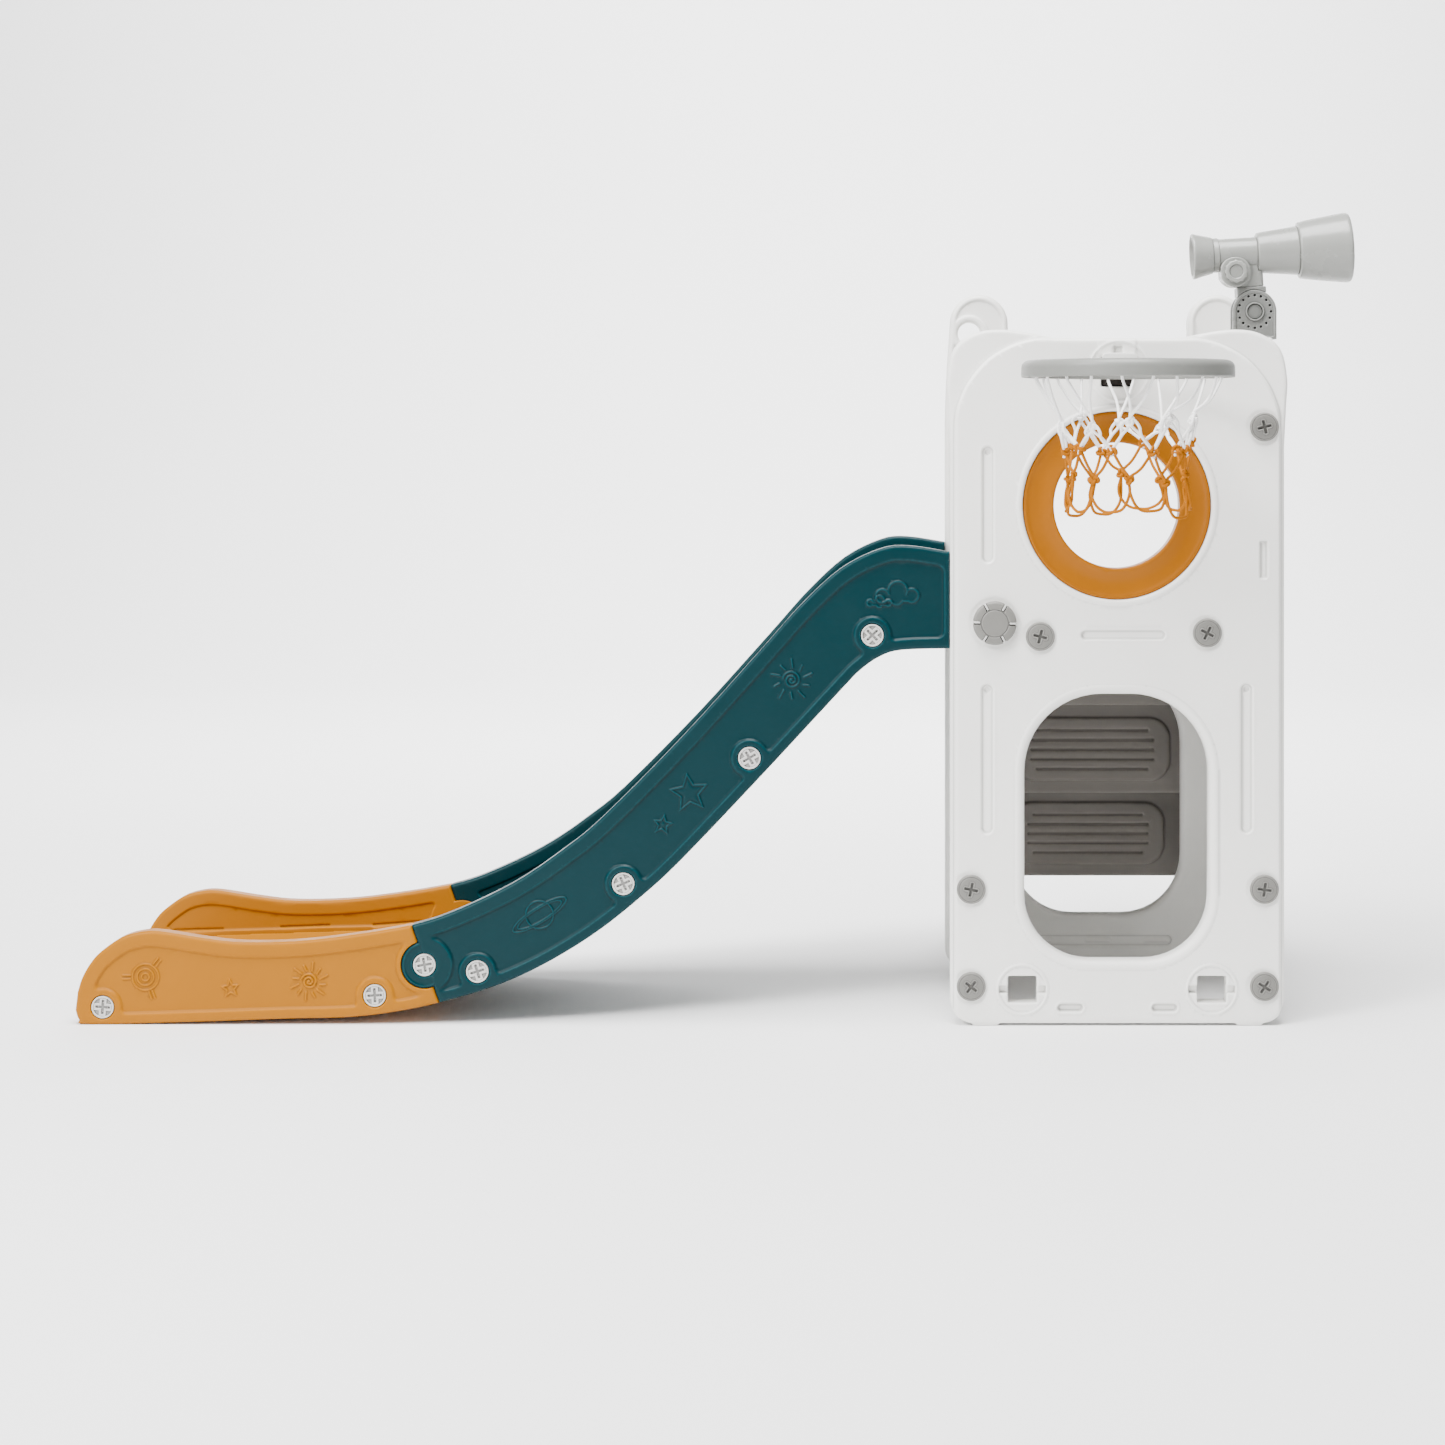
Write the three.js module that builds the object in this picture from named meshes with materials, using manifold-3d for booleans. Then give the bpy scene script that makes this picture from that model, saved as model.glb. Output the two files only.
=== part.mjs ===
// Toddler play set: a climbing tower with a two-section curved slide on its left side, steps at its
// back, a crawl-through tunnel, a basketball hoop and a toy telescope. Blow-moulded plastic.
// Millimetres, +Z up. While it is built, x = 0 is the tower's left edge, y = 0 is the face of the
// front panel and z = 0 is the ground. The finished group is then centred on its own footprint.
import * as THREE from 'three';
import { mergeVertices } from 'three/addons/utils/BufferGeometryUtils.js';
import Module from 'manifold-3d';

const wasm = await Module();
wasm.setup();

// ---------------------------------------------------------------- driving dimensions
const GAP = 0.3;

const TOWER_WIDTH = 486;
const TOWER_DEPTH = 415;
const PANEL_THICKNESS = 36;
const MIDDLE = TOWER_WIDTH / 2;
const FOOT_HEIGHT = 3;
const FOOT_LENGTH = 39;
const FOOT_INSET = 32;
const FRONT_CORNER = 34;
const BACK_CORNER = 40;
const EAR_EDGE = [
  [0, 840], [-3, 900], [-4.5, 940], [6, 983], [36, 1005], [72, 1010.5], [112, 1006], [150, 998],
];

const WINDOW = { x: 242, z: 754.7, hole: 122, seat: 136.8, seatDepth: 12 };
const RING = { outer: 136, inner: 91.3, front: 1.5, flange: 10, sleeve: 121 };
const TUNNEL = { left: 108, right: 375, bottom: 95, top: 481, bottomCorner: 94, topCorner: 112 };
const PILL_POCKETS = [
  { x: 54.7, z: 756, width: 16, height: 168 },
  { x: 53.7, z: 387, width: 16, height: 216 },
  { x: 430, z: 388, width: 16, height: 216 },
  { x: 251, z: 567, width: 121, height: 13 },
  { x: 174.3, z: 26.5, width: 36, height: 11 },
  { x: 311, z: 26.5, width: 36, height: 11 },
];
const POCKET_DEPTH = 5;
const SOCKET = { width: 42, height: 39, z: 53, notch: 13, notchHeight: 11, notchDepth: 8 };
const SOCKET_CENTRES = [104.8, 379.5];

const DECK_TOP = 600;
const DECK_THICKNESS = 48;
const ENTRANCE = { left: 100, corner: 40 };
const BACK_EAR = { x: 54, z: 1033, radius: 46, gripX: 38.6, gripZ: 1017, gripRadius: 18 };
const SIDE_PANEL_MIDDLE = 30.5;
const SIDE_PANEL_BOTTOM = 20;
const GUARD_TOP = 1000;

const PANEL_SCREW = { head: 21, headHeight: 6, shank: 6, length: 60, hole: 6.8 };
const LOWER_SCREW_HEIGHTS = [57.6, 198.4];
const GUARD_SCREW_HEIGHT = 868.6;
const DECK_SCREWS = [[130.5, 565], [372.7, 570]];
const LOCK_KNOB = { x: 64.5, z: 584.5, radius: 31.6, height: 13, rim: 20, shank: 7, hole: 8, length: 62 };

const SLIDE_FRONT = 8;
const SLIDE_BACK = 390;
const RAIL_THICKNESS = 28;
const BED_LOW = 8;
const BED_HIGH = 54;
const TONGUE_LENGTH = 95;
const LOWER_BED_START = -1215;
const UPPER_TOP = [
  [-783, 144.3], [-739.5, 157.3], [-681.5, 182], [-623.5, 212.4], [-565.5, 252.3], [-507.5, 299.4],
  [-391.5, 416.2], [-275.5, 544.5], [-217.5, 609.7], [-159.5, 662.7], [-101.5, 691.7], [-60, 696],
  [-GAP, 687],
];
const UPPER_BOTTOM = [
  [-742.8, 31.5], [-681.5, 48.9], [-623.5, 71.1], [-565.5, 101.1], [-507.5, 138.6], [-449.5, 185],
  [-391.5, 238.4], [-275.5, 360.1], [-159.5, 485.1], [-130.5, 515], [-101.5, 535], [-70, 544.3],
  [-GAP, 546.5],
];
const LOWER_TOP = [
  [-1271.6, 21], [-1268.6, 46.7], [-1250.5, 88.3], [-1235.5, 105.2], [-1205, 126.6], [-1174.5, 135],
  [-1145.5, 134.9], [-1087.5, 125.8], [-1029.5, 119.6], [-942.5, 121.6], [-855.5, 132], [-783, 144.3],
];
const LOWER_BOTTOM = [
  [-1271.6, 21], [-1266.5, 7.5], [-1250, 0.1], [-1087.5, 4], [-971.5, 8], [-870, 10.8], [-797.5, 20],
  [-742.8, 31.5],
];
const JOINT_BOSS = { x: -763.9, z: 86.7, radius: 34 };
const UPPER_SCREWS = [[-112.8, 565.8], [-291.5, 387.4], [-474.9, 204.6], [-687, 77.1]];
const LOWER_SCREWS = [[-836.1, 42.3], [-1231.6, 25.4]];
const SLIDE_SCREW = { head: 16.3, seat: 17.6, headHeight: 4, seatDepth: 5, shank: 6, hole: 6.8, length: 50 };

const STAIR_SHEET = 14;
const STAIR_TOP = 540;
const TREAD_RUN = 95.5;
const TREAD_UNDERSIDES = [120, 271, 424];
const STAIR_HALF_WIDTH = 165;
const STRINGER_THICKNESS = 32;
const STEP_PAD = { width: 254, height: 103, corner: 34, above: 20, rise: 6 };

const HOOP = { x: 243, y: -172, z: 949, outer: 148, inner: 126, height: 24, corner: 5 };
const HOOP_SOCKET = { left: 219, right: 265.4, bottom: 927, top: 970, depth: 30 };
const NET_PROFILE = [[124, 936], [110, 893], [97, 850], [90, 800], [88, 744]];
const NET_THICKNESS = 3;

const SCOPE = { x: 459.3, y: 150, z: 1041.8, tilt: 3.43, axisHeight: 88.3 };
const CLEVIS = { radius: 32.8, halfWidth: 18.5, slot: 8.4, below: 41.5, floor: 29, bore: 6.6 };
const SWIVEL_PLANE = 37.4;

const FINE_SIDES = 36;
const SIDES = 14;
const ROUND_SIDES = 22;
const SCREW_SIDES = 10;

// ---------------------------------------------------------------- finishes
const FINISHES = {
  white: { color: 0xe6e5e1, roughness: 0.45 },
  teal: { color: 0x0e4951, roughness: 0.4 },
  orange: { color: 0xfaa824, roughness: 0.42 },
  ringOrange: { color: 0xe08c14, roughness: 0.4 },
  lightGrey: { color: 0xcdcdc8, roughness: 0.4 },
  midGrey: { color: 0xacaca7, roughness: 0.5 },
  darkGrey: { color: 0x5f5d5a, roughness: 0.55 },
  screwGrey: { color: 0xd7d7d4, roughness: 0.5 },
  cord: { color: 0xf2f0ea, roughness: 0.9 },
  lens: { color: 0x9fb4b8, roughness: 0.08 },
};

// ---------------------------------------------------------------- solids and shapes
function signedVolume(position, index) {
  const a = new THREE.Vector3();
  const b = new THREE.Vector3();
  const c = new THREE.Vector3();
  let volume = 0;
  for (let i = 0; i < index.length; i += 3) {
    a.fromArray(position, index[i] * 3);
    b.fromArray(position, index[i + 1] * 3);
    c.fromArray(position, index[i + 2] * 3);
    volume += a.dot(b.cross(c)) / 6;
  }
  return volume;
}

// A closed three.js geometry as a solid for joining and cutting, with its faces turned outwards.
function toSolid(geometry) {
  geometry.deleteAttribute('normal');
  geometry.deleteAttribute('uv');
  const merged = mergeVertices(geometry, 1e-4);
  const position = merged.attributes.position.array;
  const corners = [];
  for (let i = 0; i < merged.index.count; i += 3) {
    const [a, b, c] = [0, 1, 2].map((k) => merged.index.getX(i + k));
    if (a !== b && b !== c && a !== c) corners.push(a, b, c);
  }
  if (signedVolume(position, corners) < 0) corners.reverse();
  const mesh = new wasm.Mesh({
    numProp: 3,
    vertProperties: new Float32Array(position),
    triVerts: new Uint32Array(corners),
  });
  return new wasm.Manifold(mesh);
}

function toGeometry(solid) {
  const mesh = solid.getMesh();
  const geometry = new THREE.BufferGeometry();
  geometry.setAttribute('position', new THREE.BufferAttribute(mesh.vertProperties, 3));
  geometry.setIndex(new THREE.BufferAttribute(mesh.triVerts, 1));
  geometry.computeVertexNormals();
  return geometry;
}

const join = (...solids) => solids.reduce((whole, piece) => whole.add(piece));
const cut = (solid, tools) => tools.reduce((rest, tool) => rest.subtract(tool), solid);
const vectors = (pairs) => pairs.map(([x, z]) => new THREE.Vector2(x, z));
const mirrored = (points) => points.map((p) => new THREE.Vector2(TOWER_WIDTH - p.x, p.y)).reverse();

function arc(x, z, radius, fromDegrees, toDegrees, steps) {
  return Array.from({ length: steps + 1 }, (_, i) => {
    const angle = THREE.MathUtils.degToRad(fromDegrees + ((toDegrees - fromDegrees) * i) / steps);
    return new THREE.Vector2(x + radius * Math.cos(angle), z + radius * Math.sin(angle));
  });
}

const circle = (x, z, radius, sides) => arc(x, z, radius, 0, 360, sides).slice(0, -1);
const smooth = (pairs, steps) => new THREE.SplineCurve(vectors(pairs)).getPoints(steps);

function roundedRectangle(left, right, bottom, top, low, high, steps) {
  return [
    ...arc(left + low, bottom + low, low, 180, 270, steps),
    ...arc(right - low, bottom + low, low, 270, 360, steps),
    ...arc(right - high, top - high, high, 0, 90, steps),
    ...arc(left + high, top - high, high, 90, 180, steps),
  ];
}

function extruded(outline, depth, holes) {
  const shape = new THREE.Shape(outline);
  shape.holes = holes.map((hole) => new THREE.Path(hole));
  return new THREE.ExtrudeGeometry(shape, { depth, bevelEnabled: false });
}

// An outline in the x-z plane, thick along y.
function plate(outline, yFront, thickness, holes = []) {
  const geometry = extruded(outline, thickness, holes);
  geometry.rotateX(Math.PI / 2);
  geometry.translate(0, yFront + thickness, 0);
  return toSolid(geometry);
}

// An outline in the y-z plane, thick along x.
function sidePlate(outline, xLeft, thickness) {
  const geometry = extruded(outline, thickness, []);
  const [x, y, z] = [[1, 0, 0], [0, 1, 0], [0, 0, 1]].map((v) => new THREE.Vector3(...v));
  geometry.applyMatrix4(new THREE.Matrix4().makeBasis(y, z, x));
  geometry.translate(xLeft, 0, 0);
  return toSolid(geometry);
}

function block(x0, x1, y0, y1, z0, z1) {
  const geometry = new THREE.BoxGeometry(x1 - x0, y1 - y0, z1 - z0);
  geometry.translate((x0 + x1) / 2, (y0 + y1) / 2, (z0 + z1) / 2);
  return toSolid(geometry);
}

// A round bar along y.
function bar(x, z, radius, y0, y1, sides = SIDES) {
  const geometry = new THREE.CylinderGeometry(radius, radius, y1 - y0, sides);
  geometry.translate(x, (y0 + y1) / 2, z);
  return toSolid(geometry);
}

// A profile of [radius, along] pairs turned about y, and the same about x and z.
function turned(profile, sides) {
  return new THREE.LatheGeometry(vectors(profile), sides);
}

function turnedAlongX(profile, height, sides = SIDES) {
  const geometry = turned(profile, sides);
  geometry.rotateZ(-Math.PI / 2);
  geometry.translate(0, 0, height);
  return toSolid(geometry);
}

function turnedAlongZ(profile, x, y, sides) {
  const geometry = turned(profile, sides);
  geometry.rotateX(Math.PI / 2);
  geometry.translate(x, y, 0);
  return toSolid(geometry);
}

const playSet = new THREE.Group();

function add(name, solid, finish, parent = playSet) {
  const { color, roughness } = FINISHES[finish];
  const material = new THREE.MeshStandardMaterial({ color, roughness, metalness: 0 });
  const mesh = new THREE.Mesh(toGeometry(solid), material);
  mesh.name = name;
  parent.add(mesh);
  return mesh;
}

// ---------------------------------------------------------------- tower
const lowerScrews = [SIDE_PANEL_MIDDLE, TOWER_WIDTH - SIDE_PANEL_MIDDLE].flatMap((x) =>
  LOWER_SCREW_HEIGHTS.map((z) => [x, z]));
const panelScrews = [...lowerScrews, ...DECK_SCREWS, [TOWER_WIDTH - SIDE_PANEL_MIDDLE, GUARD_SCREW_HEIGHT]];

const tunnelHole = roundedRectangle(
  TUNNEL.left, TUNNEL.right, TUNNEL.bottom, TUNNEL.top, TUNNEL.bottomCorner, TUNNEL.topCorner, 7);

function feet(yFront) {
  return [FOOT_INSET, TOWER_WIDTH - FOOT_INSET - FOOT_LENGTH].map((x) =>
    block(x, x + FOOT_LENGTH, yFront + 3, yFront + PANEL_THICKNESS - 3, 0, FOOT_HEIGHT + 2));
}

function screwHoles(yFront, yBack) {
  return panelScrews.map(([x, z]) => bar(x, z, PANEL_SCREW.hole, yFront, yBack, SCREW_SIDES));
}

const knobHole = (yFront, yBack) => bar(LOCK_KNOB.x, LOCK_KNOB.z, LOCK_KNOB.hole, yFront, yBack, SCREW_SIDES);

function accessorySocket(x) {
  const halfWidth = SOCKET.width / 2;
  const reach = halfWidth + SOCKET.notch;
  return join(
    block(x - halfWidth, x + halfWidth, -1, PANEL_THICKNESS + 1,
      SOCKET.z - SOCKET.height / 2, SOCKET.z + SOCKET.height / 2),
    block(x - reach, x + reach, -1, SOCKET.notchDepth,
      SOCKET.z - SOCKET.notchHeight / 2, SOCKET.z + SOCKET.notchHeight / 2),
  );
}

function pillPocket({ x, z, width, height }) {
  const radius = Math.min(width, height) / 2;
  const outline = roundedRectangle(
    x - width / 2, x + width / 2, z - height / 2, z + height / 2, radius, radius, 3);
  return plate(outline, -1, POCKET_DEPTH + 1);
}

function frontPanel() {
  const outline = [
    ...arc(FRONT_CORNER, FOOT_HEIGHT + FRONT_CORNER, FRONT_CORNER, 180, 270, 5),
    ...arc(TOWER_WIDTH - FRONT_CORNER, FOOT_HEIGHT + FRONT_CORNER, FRONT_CORNER, 270, 360, 5),
    ...mirrored(smooth(EAR_EDGE, 16)).reverse(),
    ...smooth(EAR_EDGE, 16).reverse(),
  ];
  const windowHole = circle(WINDOW.x, WINDOW.z, WINDOW.hole, FINE_SIDES);
  const panel = plate(outline, 0, PANEL_THICKNESS, [windowHole, tunnelHole]);
  const socket = block(
    HOOP_SOCKET.left, HOOP_SOCKET.right, -1, HOOP_SOCKET.depth, HOOP_SOCKET.bottom, HOOP_SOCKET.top);
  const tools = [
    bar(WINDOW.x, WINDOW.z, WINDOW.seat, -1, WINDOW.seatDepth, FINE_SIDES),
    ...PILL_POCKETS.map(pillPocket),
    ...SOCKET_CENTRES.map(accessorySocket),
    socket,
    knobHole(-1, PANEL_THICKNESS + 1),
    ...screwHoles(-1, PANEL_THICKNESS + 1),
  ];
  return join(cut(panel, tools), ...feet(0));
}

function backPanel() {
  const yFront = TOWER_DEPTH - PANEL_THICKNESS;
  const sill = ENTRANCE.left + ENTRANCE.corner;
  const post = [
    ...smooth([[0, 880], [2.5, 950], [BACK_EAR.x - BACK_EAR.radius, BACK_EAR.z]], 4).slice(0, -1),
    ...arc(BACK_EAR.x, BACK_EAR.z, BACK_EAR.radius, 180, 0, 14),
    ...arc(sill, DECK_TOP + ENTRANCE.corner, ENTRANCE.corner, 180, 270, 5),
  ];
  const outline = [
    ...arc(BACK_CORNER, FOOT_HEIGHT + BACK_CORNER, BACK_CORNER, 180, 270, 5),
    ...arc(TOWER_WIDTH - BACK_CORNER, FOOT_HEIGHT + BACK_CORNER, BACK_CORNER, 270, 360, 5),
    ...mirrored(post).reverse(),
    ...post.slice().reverse(),
  ];
  const grip = circle(BACK_EAR.gripX, BACK_EAR.gripZ, BACK_EAR.gripRadius, SIDES);
  const panel = plate(outline, yFront, PANEL_THICKNESS, [tunnelHole, grip]);
  const tools = [knobHole(yFront - 1, TOWER_DEPTH + 1), ...screwHoles(yFront - 1, TOWER_DEPTH + 1)];
  return join(cut(panel, tools), ...feet(yFront));
}

const INNER_FRONT = PANEL_THICKNESS + GAP;
const INNER_BACK = TOWER_DEPTH - PANEL_THICKNESS - GAP;
const SCREW_REACH = PANEL_SCREW.length - PANEL_THICKNESS + 3;

// The two sets of blind holes that the front and back screws bite into.
function blindScrewHoles() {
  return [
    ...screwHoles(INNER_FRONT - 1, INNER_FRONT + SCREW_REACH),
    ...screwHoles(INNER_BACK - SCREW_REACH, INNER_BACK + 1),
  ];
}

function uprightPanel(middle, bottom, top) {
  const half = PANEL_THICKNESS / 2;
  const panel = block(middle - half, middle + half, INNER_FRONT, INNER_BACK, bottom, top);
  return cut(panel, blindScrewHoles());
}

function windowRing() {
  const { outer, inner, front, flange, sleeve } = RING;
  const profile = [
    [inner, front + 3], [inner + 4, front], [outer - 3, front], [outer, front + 3], [outer, front + flange],
    [sleeve, front + flange], [sleeve, PANEL_THICKNESS - 1], [inner, PANEL_THICKNESS - 1], [inner, front + 3],
  ];
  const geometry = turned(profile, FINE_SIDES);
  geometry.translate(WINDOW.x, 0, WINDOW.z);
  return toSolid(geometry);
}

// Two in the set: the front one faces -y and the back one, turned round, faces +y.
function panelScrew() {
  const { head, headHeight, shank, length } = PANEL_SCREW;
  const profile = [
    [0, -headHeight], [head - 6, -headHeight], [head - 1, -headHeight + 2], [head, -GAP], [shank, -GAP],
    [shank, length - 6], [0, length],
  ];
  return toSolid(turned(profile, SCREW_SIDES));
}

function lockKnob() {
  const { radius, height, rim, shank, length } = LOCK_KNOB;
  const profile = [
    [0, -height + 3], [rim - 3, -height + 3], [rim - 1, -height], [rim + 1, -height],
    [radius - 1, -height + 4], [radius, -height + 6], [radius, -GAP], [shank, -GAP], [shank, length],
    [0, length],
  ];
  const notches = Array.from({ length: 6 }, (_, i) => {
    const angle = THREE.MathUtils.degToRad(60 * i);
    const geometry = new THREE.BoxGeometry(9, 6, 4);
    geometry.translate(radius, -height + 3, 0);
    geometry.rotateY(angle);
    return toSolid(geometry);
  });
  return cut(toSolid(turned(profile, ROUND_SIDES)), notches);
}

// Places a fastener on the front face, or turned about z on the back face.
function addThroughPanel(name, solid, finish, x, z, side) {
  const mesh = add(name, solid, finish);
  mesh.position.set(x, side === 'front' ? 0 : TOWER_DEPTH, z);
  mesh.rotation.z = side === 'front' ? 0 : Math.PI;
}

add('front_panel', frontPanel(), 'white');
add('back_panel', backPanel(), 'white');
const sideTop = DECK_TOP - DECK_THICKNESS - GAP;
add('lower_side_panel_left', uprightPanel(SIDE_PANEL_MIDDLE, SIDE_PANEL_BOTTOM, sideTop), 'white');
add('lower_side_panel_right',
  uprightPanel(TOWER_WIDTH - SIDE_PANEL_MIDDLE, SIDE_PANEL_BOTTOM, sideTop), 'white');
add('side_guard_panel', uprightPanel(TOWER_WIDTH - SIDE_PANEL_MIDDLE, DECK_TOP + GAP, GUARD_TOP), 'white');
const deck = block(
  TONGUE_LENGTH + GAP, TOWER_WIDTH - 8, INNER_FRONT, INNER_BACK, DECK_TOP - DECK_THICKNESS, DECK_TOP);
add('deck', cut(deck, blindScrewHoles()), 'darkGrey');
add('window_ring', windowRing(), 'ringOrange');
for (const side of ['front', 'back']) {
  addThroughPanel(`lock_knob_${side}`, lockKnob(), 'midGrey', LOCK_KNOB.x, LOCK_KNOB.z, side);
  panelScrews.forEach(([x, z], i) =>
    addThroughPanel(`${side}_panel_screw_${i + 1}`, panelScrew(), 'midGrey', x, z, side));
}

// ---------------------------------------------------------------- steps
const STAIR_FACE = TOWER_DEPTH + 0.5;
const riserFace = (step) => STAIR_FACE + TREAD_RUN * (2 - step);

function stairSteps() {
  const inner = [[STAIR_FACE, STAIR_TOP]];
  const outer = [[STAIR_FACE + STAIR_SHEET, STAIR_TOP]];
  for (const step of [2, 1, 0]) {
    const underside = TREAD_UNDERSIDES[step];
    const nose = step > 0 ? riserFace(step - 1) : riserFace(0) + TREAD_RUN + STAIR_SHEET;
    inner.push([riserFace(step), underside], [nose, underside]);
    outer.push([riserFace(step) + STAIR_SHEET, underside + STAIR_SHEET]);
    outer.push([nose + (step > 0 ? STAIR_SHEET : 0), underside + STAIR_SHEET]);
  }
  const outline = vectors([...inner, ...outer.reverse()]);
  const sheet = sidePlate(outline, MIDDLE - STAIR_HALF_WIDTH + GAP, 2 * (STAIR_HALF_WIDTH - GAP));
  const pads = [1, 0].map((step) => {
    const bottom = TREAD_UNDERSIDES[step] + STEP_PAD.above;
    const half = STEP_PAD.width / 2;
    const shape = roundedRectangle(
      MIDDLE - half, MIDDLE + half, bottom, bottom + STEP_PAD.height, STEP_PAD.corner, STEP_PAD.corner, 4);
    return plate(shape, riserFace(step) - STEP_PAD.rise, STEP_PAD.rise + 2);
  });
  return join(sheet, ...pads);
}

function stringer(xLeft) {
  const slope = [[STAIR_FACE + 62, STAIR_TOP - 6], [STAIR_FACE + 320, 150]];
  const outline = [
    ...vectors([[STAIR_FACE, 360], [STAIR_FACE + 175, 80], [STAIR_FACE + 205, 0]]),
    ...arc(slope[1][0] - 20, 20, 20, 270, 360, 4),
    ...vectors([slope[1], slope[0], [STAIR_FACE + 52, STAIR_TOP], [STAIR_FACE, STAIR_TOP]]),
  ];
  return sidePlate(outline, xLeft, STRINGER_THICKNESS);
}

add('stair_steps', stairSteps(), 'darkGrey');
add('stair_side_left', stringer(MIDDLE - STAIR_HALF_WIDTH - STRINGER_THICKNESS), 'darkGrey');
add('stair_side_right', stringer(MIDDLE + STAIR_HALF_WIDTH), 'darkGrey');

// ---------------------------------------------------------------- slide
const RAIL_STEPS = 24;

const upperTop = smooth(UPPER_TOP, RAIL_STEPS);
const upperBottom = smooth(UPPER_BOTTOM, RAIL_STEPS);
const lowerTop = smooth(LOWER_TOP, RAIL_STEPS);
const lowerBottom = smooth(LOWER_BOTTOM, RAIL_STEPS);

// The strip between two distances above a rail's bottom edge, square to that edge.
function strip(edge, low, high) {
  const shifted = (distance) => edge.map((point, i) => {
    const before = edge[Math.max(i - 1, 0)];
    const after = edge[Math.min(i + 1, edge.length - 1)];
    const along = after.clone().sub(before).normalize();
    return new THREE.Vector2(point.x - along.y * distance, point.y + along.x * distance);
  });
  return [...shifted(low), ...shifted(high).reverse()];
}

const railSides = {
  near: { outer: SLIDE_FRONT, inner: SLIDE_FRONT + RAIL_THICKNESS, out: -1 },
  far: { outer: SLIDE_BACK, inner: SLIDE_BACK - RAIL_THICKNESS, out: 1 },
};

function span(a, b) {
  return [Math.min(a, b), Math.max(a, b)];
}

function slideScrewHoles(places, { outer, inner, out }) {
  return places.flatMap(([x, z]) => [
    bar(x, z, SLIDE_SCREW.seat, ...span(outer + out, outer - out * SLIDE_SCREW.seatDepth), SIDES),
    bar(x, z, SLIDE_SCREW.hole, ...span(outer, inner - out), SCREW_SIDES),
  ]);
}

// The rails meet in a half lap: the upper boss is the outer half and the lower boss the inner one.
function rail(outline, side, places, lapOuter) {
  const { outer, inner, out } = side;
  const lap = (outer + inner) / 2;
  const [yLow, yHigh] = span(outer, inner);
  const body = plate(outline, yLow, yHigh - yLow);
  const bossRange = lapOuter ? [outer, lap + (out * GAP) / 2] : [lap - (out * GAP) / 2, inner];
  const reliefRange = lapOuter ? [lap - (out * GAP) / 2, inner - out] : [outer + out, lap + (out * GAP) / 2];
  const boss = bar(JOINT_BOSS.x, JOINT_BOSS.z, JOINT_BOSS.radius, ...span(...bossRange), ROUND_SIDES);
  const cleared = JOINT_BOSS.radius + 2 * GAP;
  const relief = bar(JOINT_BOSS.x, JOINT_BOSS.z, cleared, ...span(...reliefRange), ROUND_SIDES);
  return cut(join(body, boss), [relief, ...slideScrewHoles([...places, [JOINT_BOSS.x, JOINT_BOSS.z]], side)]);
}

function railOutline(top, bottom, seamGap) {
  const outline = [...bottom, ...top.slice().reverse()];
  return outline.map((p) => new THREE.Vector2(p.x + seamGap(p), p.y));
}

const atSeam = (p) => Math.abs(p.x - UPPER_TOP[0][0]) < 1e-6 || Math.abs(p.x - UPPER_BOTTOM[0][0]) < 1e-6;
const upperOutline = railOutline(upperTop, upperBottom, (p) => (atSeam(p) ? GAP : 0));
const lowerOutline = railOutline(lowerTop.slice(1), lowerBottom, () => 0);

function bedHoles(places) {
  const innerFront = SLIDE_FRONT + RAIL_THICKNESS;
  const innerBack = SLIDE_BACK - RAIL_THICKNESS;
  const reach = SLIDE_SCREW.length - RAIL_THICKNESS;
  return places.flatMap(([x, z]) => [
    bar(x, z, SLIDE_SCREW.hole, innerFront - 1, innerFront + reach, SCREW_SIDES),
    bar(x, z, SLIDE_SCREW.hole, innerBack - reach, innerBack + 1, SCREW_SIDES),
  ]);
}

const BED_FRONT = SLIDE_FRONT + RAIL_THICKNESS + GAP;
const BED_WIDTH = SLIDE_BACK - RAIL_THICKNESS - GAP - BED_FRONT;

// Everything on the upper section's side of the slanted seam.
function pastSeam() {
  const [[xHigh, zHigh], [xLow, zLow]] = [UPPER_TOP[0], UPPER_BOTTOM[0]];
  const reach = 100;
  const lean = ((xLow - xHigh) / (zHigh - zLow)) * reach;
  const outline = vectors([
    [xLow + lean - 1, zLow - reach], [xLow + 200, zLow - reach], [xHigh + 200, zHigh], [xHigh - 1, zHigh],
  ]);
  return plate(outline, 0, TOWER_DEPTH);
}

function upperBed() {
  const bed = plate(strip(upperBottom, BED_LOW, BED_HIGH), BED_FRONT, BED_WIDTH);
  const level = UPPER_BOTTOM[UPPER_BOTTOM.length - 1][1];
  const tongue = block(-20, TONGUE_LENGTH, BED_FRONT + 1, BED_FRONT + BED_WIDTH - 1,
    level + BED_LOW + 1, level + BED_HIGH - 1);
  const lock = bar(LOCK_KNOB.x, LOCK_KNOB.z, LOCK_KNOB.hole, 0, TOWER_DEPTH, SCREW_SIDES);
  return cut(join(bed, tongue), [lock, ...bedHoles([...UPPER_SCREWS, [JOINT_BOSS.x, JOINT_BOSS.z]])]);
}

function lowerBed() {
  const edge = lowerBottom.slice(lowerBottom.findIndex((p) => p.x > LOWER_BED_START));
  const bed = plate(strip(edge, BED_LOW - 2, BED_HIGH), BED_FRONT, BED_WIDTH);
  const lipRadius = (BED_HIGH - BED_LOW) / 2;
  const lip = bar(edge[0].x, edge[0].y + BED_LOW + lipRadius, lipRadius, BED_FRONT, BED_FRONT + BED_WIDTH);
  const places = [...LOWER_SCREWS, [JOINT_BOSS.x, JOINT_BOSS.z]];
  return cut(join(bed, lip), [pastSeam(), ...bedHoles(places)]);
}

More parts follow.
